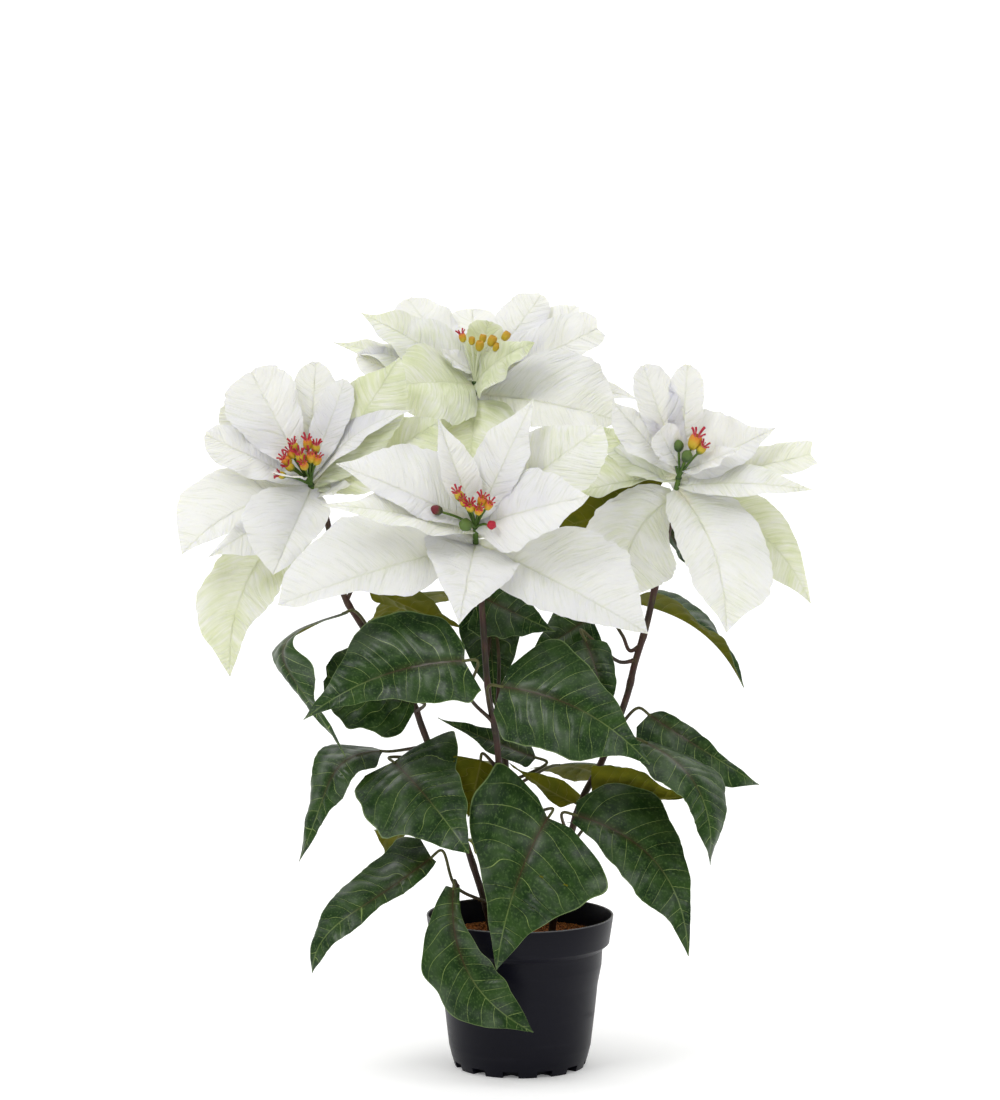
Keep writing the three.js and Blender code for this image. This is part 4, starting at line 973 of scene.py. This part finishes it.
# %% Flower tables
# Kind of flower, its place from the head's centre, and its radius.
FLOWERS = {
    "front": [
        ("cup", (-10, -9, 13), 3.0), ("gold", (4, -10, 10), 3.0), ("cup", (-3, -12, 6), 3.0),
        ("gold", (8, -10, 7), 2.8), ("gold", (2, -12, 4), 2.8), ("cup", (-7, -11, 9), 2.6),
        ("bud", (-6, -11, -5), 4.2), ("ripe", (-24, -9, 4), 3.2), ("berry", (10, -12, -5), 2.9),
    ],
    "left": [
        ("gold", (-11, -10, 8), 3.0), ("cup", (-6, -7, 16), 2.8), ("gold", (2, -6, 18), 3.0),
        ("cup", (7, -5, 15), 2.8), ("cup", (-2, -10, 10), 3.2), ("gold", (4, -9, 10), 3.0),
        ("cup", (-14, -12, -1), 2.4), ("cup", (-9, -10, 4), 2.8), ("gold", (0, -11, 5), 2.8),
        ("gold", (8, -7, 8), 2.8), ("gold", (-8, -9, 12), 2.6),
    ],
    "back": [
        ("gold", (-8, -4, 19), 2.4), ("bead", (3, -6, 14), 2.8), ("bead", (11, -4, 17), 3.0),
        ("bead", (20, -2, 20), 2.7), ("bead", (5, 3, 18), 2.4), ("bead", (14, -7, 13), 2.4),
        ("bead", (-2, -3, 17), 2.2),
    ],
    "right": [
        ("gold", (8, -6, 14), 4.2), ("cup", (-9, -3, 15), 2.8), ("bud", (-2, -4, 11), 3.2),
        ("bud", (3, -9, 5), 3.6), ("cup", (12, -7, 9), 2.8),
    ],
}
STALK_KINDS = {"front": "stalk", "left": "stalk", "back": "pale", "right": "stalk"}
# Outlines of radius and height, both for a flower of radius 1.
TOP = 1.3
CUP = [(0, -TOP), (0.5, -1.25), (0.85, -0.8), (1.0, -0.1), (0.95, 0.5), (0.8, 1.0), (0.62, 1.1),
       (0.55, 0.7), (0.3, 0.5), (0, 0.45)]
BUD = [(0, -TOP), (0.45, -1.2), (0.85, -0.7), (1.0, -0.1), (0.92, 0.45), (0.6, 1.0), (0.28, 1.25), (0, TOP)]
BERRY = [(math.sin(a), -math.cos(a)) for a in np.linspace(0, math.pi, 9)]
PROFILES = {"cup": CUP, "gold": CUP, "bead": CUP, "bud": BUD, "ripe": BUD, "berry": BERRY}
FINGERED = {"cup": 8, "gold": 6}
LOBES, LOBE_DEPTH = 5, 0.06
FLOWER_SIDES = 16


# %% Flower parts
def turned(profile, sides):
    """Points and faces of a profile of (radius, height) turned about the upright axis."""
    angles = np.linspace(0, 2 * math.pi, sides, endpoint=False)
    profile = np.array(profile, float)
    radii = np.maximum(profile[:, 0], 1e-3)
    points = np.stack([radii[:, None] * np.cos(angles), radii[:, None] * np.sin(angles),
                       profile[:, 1][:, None] + 0 * angles], -1)
    corner = np.arange(points[..., 0].size).reshape(len(profile), sides)
    across = np.roll(corner, -1, axis=1)
    faces = np.stack([corner[:-1], across[:-1], across[1:], corner[1:]], -1).reshape(-1, 4)
    return points.reshape(-1, 3), faces


def standing(points, direction, place):
    """Points turned so that their upright axis runs along a direction from a place."""
    turn = np.array(Vector((0, 0, 1)).rotation_difference(Vector(direction)).to_matrix())
    return points @ turn.T + place


def flower_mesh(kind, place, direction, radius):
    points, faces = turned(PROFILES[kind], FLOWER_SIDES)
    lobes = 1 + LOBE_DEPTH * np.cos(LOBES * np.arctan2(points[:, 1], points[:, 0]))
    along = (points[:, 2] + TOP) / (2 * TOP)
    solid = points * radius * np.stack([lobes, lobes, np.ones(len(points))], -1)
    piece = mesh_object("flower", standing(solid, direction, place) * MM, faces, [FLOWER_FINISHES[kind]])
    store(piece.data, "along", along)
    return taken(piece)


def taken(piece):
    """Keeps a piece's mesh and removes its object."""
    mesh = piece.data
    bpy.data.objects.remove(piece)
    return mesh


# %% Finger crown
crown_tree = Tree("finger crown", count="Int", ring="Float", length="Float", seed="Int")
arc = crown_tree.add("CurvePrimitiveBezierSegment", {"mode": "POSITION"}, {
    "Resolution": 5, "Start": (0, 0, 0), "Start Handle": (0, 0, 0.4), "End Handle": (0.2, 0, 0.75),
    "End": (0.5, 0, 0.95)})
finger = crown_tree.tube(arc, 5, crown_tree.add("SplineParameter") * 0.05 + 0.11)
reach = crown_tree.random("FLOAT", {2: 0.6, 3: 1.15, "Seed": crown_tree["seed"]}, out=1)
crown = crown_tree.round_axis(finger, reach * crown_tree["length"])
crown_tree.finish_with(crown, FLOWER_FINISHES["finger"])
# The crown's ring, its fingers' length and its height on the cup, as shares of the cup's radius.
CROWN_RING, FINGER_LENGTH, CROWN_HEIGHT = 0.55, 1.45, 0.75


def crown_mesh(kind, place, direction, radius, seed):
    blank = placed("crown", bpy.data.meshes.new("crown"))
    mesh = grow(blank, crown_tree, count=FINGERED[kind], ring=CROWN_RING * radius * MM,
                length=FINGER_LENGTH * radius * MM, seed=seed)
    bpy.data.objects.remove(blank)
    points = np.zeros(3 * len(mesh.vertices))
    mesh.vertices.foreach_get("co", points)
    points = points.reshape(-1, 3)
    store(mesh, "along", np.clip(points[:, 2] / (radius * MM), 0, 1))
    raised = points / MM + (0, 0, CROWN_HEIGHT * radius)
    mesh.vertices.foreach_set("co", (standing(raised, direction, place) * MM).reshape(-1))
    return mesh

# %% Flowers of each head
FLOWER_ROOT = -11.0
CUSHION_HEIGHT = 2.4
CUSHION = [(0, -0.5), (2.0, -0.4), (2.2, 0.4), (1.8, 1.2), (1.0, 1.6), (0, 1.8)]
FLOWER_STALK = dict(foot=0.9, tip=0.75, swelling=0.3, sides=8)
for number, (side, flowers) in enumerate(FLOWERS.items()):
    head = HEADS[side]
    axis = unit(head["axis"])
    root = on_axis(head, FLOWER_ROOT + 0.8)
    cushion, faces = turned(CUSHION, FLOWER_SIDES)
    piece = mesh_object("cushion", standing(cushion, axis, on_axis(head, FLOWER_ROOT)) * MM, faces,
                        [FLOWER_FINISHES["bud"]])
    store(piece.data, "along", cushion[:, 2] / CUSHION_HEIGHT)
    meshes = [taken(piece)]
    for row, (kind, spot, radius) in enumerate(flowers):
        place = from_centre(head, spot)
        direction = unit(place - root)
        meshes.append(flower_mesh(kind, place, direction, radius))
        middle = root * 0.5 + place * 0.5 + axis * 1.5
        stalk = route([root, middle, place - direction * radius], per_span=6)
        tube = tube_mesh(stalk, **FLOWER_STALK)
        tube.materials.clear()
        tube.materials.append(FLOWER_FINISHES[STALK_KINDS[side]])
        store(tube, "along", np.linspace(0, 1, len(tube.vertices)))
        meshes.append(tube)
        if kind in FINGERED:
            meshes.append(crown_mesh(kind, place, direction, radius, SEED + 10 * number + row))
    settle(joined(f"{side}_head_flowers", meshes), "cyathia", f"cyathia_{side}")

# %% [markdown]
# ## The necks
# The bracts and the flowers grow on a short green neck, a little slimmer than the stem. It is turned like
# the flowers and painted like their stalks.

# %% Necks
NECK = [(0, -NECK_LENGTH), (1.9, -NECK_LENGTH), (1.8, -18), (1.6, -12), (1.2, FLOWER_ROOT - 0.2),
        (0, FLOWER_ROOT)]
for side, head in HEADS.items():
    points, faces = turned(NECK, FLOWER_SIDES)
    place = standing(points, unit(head["axis"]), on_axis(head, 0))
    piece = mesh_object(f"{side}_neck", place * MM, faces, [FLOWER_FINISHES["stalk"]])
    store(piece.data, "along", points[:, 2] / NECK_LENGTH + 1)
    settle(piece, "stem", f"bracts_{side}")

# %% [markdown]
# ## The pot
# The pot is one injection moulding of thin black plastic: a tapered wall, a collar that stands out so that
# pots stack, a thin rim, and a foot ring with notches that let water out. It is turned from its profile,
# and a Geometry Nodes tree cuts the notches and the drainage holes, because they repeat round the axis.

# %% Pot profile
RIM_RADIUS = 60.0
POT_HEIGHT = 98.0
WALL = 1.3
FLOOR_UNDERSIDE, FLOOR_TOP = 5.0, 6.5
OUTSIDE = [(41.8, 0), (43.9, 7), (45.6, 14), (48.4, 38), (49.9, 53), (52.4, 66), (53.0, 76.5), (57.3, 80),
           (57.9, 84), (RIM_RADIUS, POT_HEIGHT)]
INSIDE = [(56.6, 84), (56.0, 81), (51.7, 77.5), (51.1, 66), (48.6, 53), (47.1, 38), (44.3, 14),
          (41.9, FLOOR_TOP)]


def eased(profile, radius=0.5, steps=3):
    """The profile with each corner replaced by a short arc."""
    p = [np.array(q, float) for q in profile]
    result = [p[0]]
    for a, b, c in zip(p, p[1:], p[2:]):
        before = b + unit(a - b) * min(radius, 0.4 * np.linalg.norm(a - b))
        after = b + unit(c - b) * min(radius, 0.4 * np.linalg.norm(c - b))
        for s in np.linspace(0, 1, steps):
            result.append((1 - s) ** 2 * before + 2 * s * (1 - s) * b + s * s * after)
    return [*result, p[-1]]


# %% Pot finish
POT_BLACK, POT_DUST, RIM_PAINTED_HIGHLIGHT = (0.004, 0.004, 0.009), (0.016, 0.016, 0.022), (0.20, 0.20, 0.21)


def moulded(tree):
    where = object_place(tree)
    grain = noise(where, 1600.0, 2.0)
    scuff = noise(stretched(where, (1.0, 1.0, 6.0)), 26.0, 4.0)
    height = where.parts()[2]
    # A painted highlight: the top of the rim is painted pale grey instead of the wall's black.
    rim = band(height, (POT_HEIGHT - 0.9) * MM, (POT_HEIGHT - 0.1) * MM)
    dust = band(scuff, 0.55, 0.8)
    colour = blend_colours(dust * 0.35, POT_BLACK, POT_DUST)
    colour = blend_colours(rim * 0.8, colour, RIM_PAINTED_HIGHLIGHT)
    return {
        "Base Color": colour,
        "Roughness": dust * 0.15 + 0.38,
        "Normal": bump(grain, 0.06 * MM),
        "Specular IOR Level": 0.13,
    }


POT_PLASTIC = finish("moulded plastic", moulded)

# %% Cutters round the foot
cut_tree = Tree("cuts round an axis", count="Int", ring="Float", turn="Float", size="Vector",
                material="Material")
blocks = cut_tree.round_axis(cut_tree.add("MeshCube", {}, {"Size": cut_tree["size"]}))
real_blocks = cut_tree.add("RealizeInstances", {}, {"Geometry": blocks})
turn = put(cut_tree.group, "CombineXYZ", {}, {2: cut_tree["turn"]})
turned_blocks = cut_tree.add("Transform", {}, {"Geometry": real_blocks, "Rotation": turn})
cut = cut_tree.add("MeshBoolean", {"operation": "DIFFERENCE", "solver": "EXACT"},
                   {"Mesh 1": cut_tree["Geometry"], "Mesh 2": turned_blocks})
cut_tree.finish_with(cut, cut_tree["material"])

# %% Pot
PAD_RADIUS, PAD_FOOT, PAD_TOP = 19.5, 18, 1.5
underside = [(0, 0), (PAD_FOOT, 0), (PAD_RADIUS, FLOOR_UNDERSIDE), (36, FLOOR_UNDERSIDE), (37, 0)]
inside_floor = [(PAD_RADIUS, FLOOR_TOP), (PAD_FOOT, PAD_TOP), (0, PAD_TOP)]
wall = [*OUTSIDE, (RIM_RADIUS - WALL, POT_HEIGHT), *INSIDE]
points, faces = turned(eased([*underside, *wall, *inside_floor]), 120)
pot = mesh_object("pot_moulding", points * MM, faces, [POT_PLASTIC])
NOTCH_TURN = math.radians(-8.4)
# Notches in the foot ring, then holes in the floor: how many, how far out, turned how far, and their size.
for count, ring, angle, size in (
    (12, 41.8, NOTCH_TURN + math.pi / 2, (10, 10, 8.6)),
    (6, 27.0, 0.0, (6.5, 6.5, 12)),
):
    pot.data = grow(pot, cut_tree, count=count, ring=ring * MM, turn=angle, size=[s * MM for s in size],
                    material=POT_PLASTIC)
pot.data.set_sharp_from_angle(angle=math.radians(40))
settle(pot, "pot_plastic", "pot")

# %% [markdown]
# ## The soil
# Coco and peat crumb fills the pot to a finger's width below the rim. Its body is turned to fit the wall,
# with an uneven top. Crumbs and short fibres lie on it: points are scattered over the top faces, each
# takes a small lump or a splinter at a random turn and size, and all of it is made real at the end. Near
# the wall they get smaller, so that none sticks through it.

# %% Soil finish
PEAT, COCO, FIBRE = (0.055, 0.020, 0.008), (0.55, 0.19, 0.06), (0.70, 0.27, 0.08)


def crumb(tree):
    where = object_place(tree)
    fine = noise(where, 900.0, 4.0)
    coarse = noise(where, 160.0, 3.0)
    colour = blend_colours(band(fine, 0.35, 0.7), PEAT, COCO)
    colour = blend_colours(band(coarse, 0.45, 0.7) * 0.5, colour, FIBRE)
    return {
        "Base Color": colour,
        "Roughness": 0.95,
        "Normal": bump(fine, 0.8 * MM),
        "Specular IOR Level": 0.2,
    }


SOIL = finish("coco and peat crumb", crumb)
SOIL_LEVEL = 83.0

# %% Soil body
GAP = 0.35
SOIL_RADIUS, CROWN_RISE, LUMP_HEIGHT = 56.0, 1.2, 0.55
body = [(0, FLOOR_TOP + GAP), (41.4, FLOOR_TOP + GAP)]
body += [(r - GAP, z) for r, z in reversed(INSIDE[1:-1])]
body += [(SOIL_RADIUS, SOIL_LEVEL)]
body += [(r, SOIL_LEVEL + CROWN_RISE * (1 - r / SOIL_RADIUS)) for r in np.linspace(54, 0, 28)]
points, faces = turned(body, 112)
top = points[:, 2] >= SOIL_LEVEL - 0.01
lumps = sum(np.sin(points[:, 0] * a + c) * np.sin(points[:, 1] * b + 2 * c) for a, b, c in
            ((0.31, 0.27, 1.0), (0.62, 0.71, 2.3), (1.33, 1.21, 0.4)))
inland = np.clip((SOIL_RADIUS - np.hypot(points[:, 0], points[:, 1])) / 3, 0, 1)
points[:, 2] += np.where(top, LUMP_HEIGHT * lumps * inland, 0)
soil = mesh_object("soil_crumb", points * MM, faces, [SOIL])

# %% Crumbs
crumb_tree = Tree("crumbs on the soil", density="Float", smallest="Float", largest="Float", seed="Int")
seed = crumb_tree["seed"]
upward = crumb_tree.add("InputNormal").parts()[2]
x, y, high = crumb_tree.add("InputPosition").parts()
off_axis = (x * x + y * y) ** 0.5
NEAR_WALL, AT_WALL, SMALLEST_SHARE = 46 * MM, 55 * MM, 0.12
room = put(crumb_tree.group, "MapRange", {}, {
    0: off_axis, 1: NEAR_WALL, 2: AT_WALL, 3: 1.0, 4: SMALLEST_SHARE})
on_top = upward.math("GREATER_THAN", 0.5) * high.math("GREATER_THAN", (SOIL_LEVEL - 2) * MM)
spots = crumb_tree.add("DistributePointsOnFaces", {"distribute_method": "RANDOM"}, {
    "Mesh": crumb_tree["Geometry"], "Selection": on_top, "Density": crumb_tree["density"], "Seed": seed})
lump = crumb_tree.add("MeshIcoSphere", {}, {"Radius": 1.0, "Subdivisions": 1})
straight = crumb_tree.add("MeshCylinder", {}, {"Vertices": 5, "Radius": 0.22, "Depth": 6.0})
splinter = crumb_tree.add("Transform", {}, {"Geometry": straight, "Rotation": (0, math.pi / 2, 0)})
kinds = crumb_tree.add("GeometryToInstance")
for shape in (lump, splinter, lump):
    feed(kinds.socket.node, {0: shape})
spin = crumb_tree.random("FLOAT_VECTOR", {0: (-0.4, -0.4, 0), 1: (0.4, 0.4, 2 * math.pi), "Seed": seed})
size = crumb_tree.random("FLOAT_VECTOR", {0: (0.6, 0.5, 0.4), 1: (1.5, 1.1, 0.9), "Seed": 5})
scale = crumb_tree.random("FLOAT", {2: crumb_tree["smallest"], 3: crumb_tree["largest"], "Seed": 9}, out=1)
whole = put(crumb_tree.group, "VectorMath", {"operation": "SCALE"}, {0: size, "Scale": scale * room})
crumbs = crumb_tree.add("InstanceOnPoints", {}, {
    "Points": spots, "Instance": kinds, "Pick Instance": True, "Rotation": spin, "Scale": whole})
crumb_tree.finish_with(crumbs, SOIL)
CRUMBS_PER_SQUARE_METRE = 260000.0
loose = placed("soil_loose_crumb", grow(soil, crumb_tree, density=CRUMBS_PER_SQUARE_METRE,
                                        smallest=0.5 * MM, largest=1.5 * MM, seed=SEED))
settle(soil, "soil", "soil")
settle(loose, "soil", "soil")

# %% [markdown]
# ## Floor, light and camera
# The plant stands on a plain white floor that glows faintly, as a light table does, so that its shadow
# stays soft. Two large lights stand in front, high to the left and right. The surround is bright overhead
# like a wide lamp, white at the horizon behind the plant and dark towards the viewer, so that the leaves
# and the pot keep their depth. The camera stands three metres away and a little above, with a long lens.

# %% Floor
FLOOR_REACH = 400.0
corners = [(x * FLOOR_REACH, y * FLOOR_REACH, 0) for x, y in ((-1, -1), (1, -1), (1, 1), (-1, 1))]
floor_data = bpy.data.meshes.new("floor")
floor_data.from_pydata(corners, [], [(0, 1, 2, 3)])
floor = placed("floor", floor_data)
floor_data.materials.append(finish("floor paper", lambda tree: {
    "Base Color": (0.97, 0.97, 0.97, 1), "Roughness": 0.9, "Specular IOR Level": 0.1,
    "Emission Color": (1, 1, 1, 1), "Emission Strength": 0.15}))

# %% Surround
GLOW_ROUND, GLOW_ABOVE, GLOW_BEHIND, HORIZON = 0.16, 1.25, 0.9, 1.15
world = bpy.data.worlds.new("studio")
bpy.context.scene.world = world
world.use_nodes = True
tree = world.node_tree
_, behind, above = put(tree, "TexCoord").parts()
glow = band(above, 0.30, 0.95) * GLOW_ABOVE + behind.math("MAXIMUM", 0.0) * GLOW_BEHIND + GLOW_ROUND
horizon = band(behind, 0.0, 0.6) * (1.0 - band(above, 0.03, 0.12))
glow = glow + (HORIZON - glow) * horizon
feed(tree.nodes["Background"], {"Color": (1, 1, 1, 1), "Strength": glow})

# %% Lights
AIM = Vector((0, 0, 0.3))
for name, place, size, power in (
    ("key left", (-1.3, -1.5, 1.9), 0.8, 17.0),
    ("key right", (1.5, -1.2, 1.6), 1.1, 6.0),
):
    light = bpy.data.lights.new(name, "AREA")
    light.size = size
    light.energy = power
    lamp = placed(name, light)
    lamp.location = place
    lamp.rotation_euler = (AIM - Vector(place)).to_track_quat("-Z", "Y").to_euler()
    print(f"{name}: {power} W")

# %% Camera
FOCAL_PIXELS = 4667.0
FRAME_HEIGHT = 1100.0
CAMERA_PLACE = (-0.0128, -2.944, 0.675)
CAMERA_DIP = 6.63
camera_data = bpy.data.cameras.new("camera")
camera_data.sensor_width = 36.0
camera_data.lens = camera_data.sensor_width * FOCAL_PIXELS / FRAME_HEIGHT
camera_data.clip_end = 1000.0
camera = placed("camera", camera_data)
camera.location = CAMERA_PLACE
camera.rotation_euler = (math.radians(90 - CAMERA_DIP), 0, 0)
bpy.context.scene.camera = camera
print(f"lens: {camera_data.lens:.1f} mm")
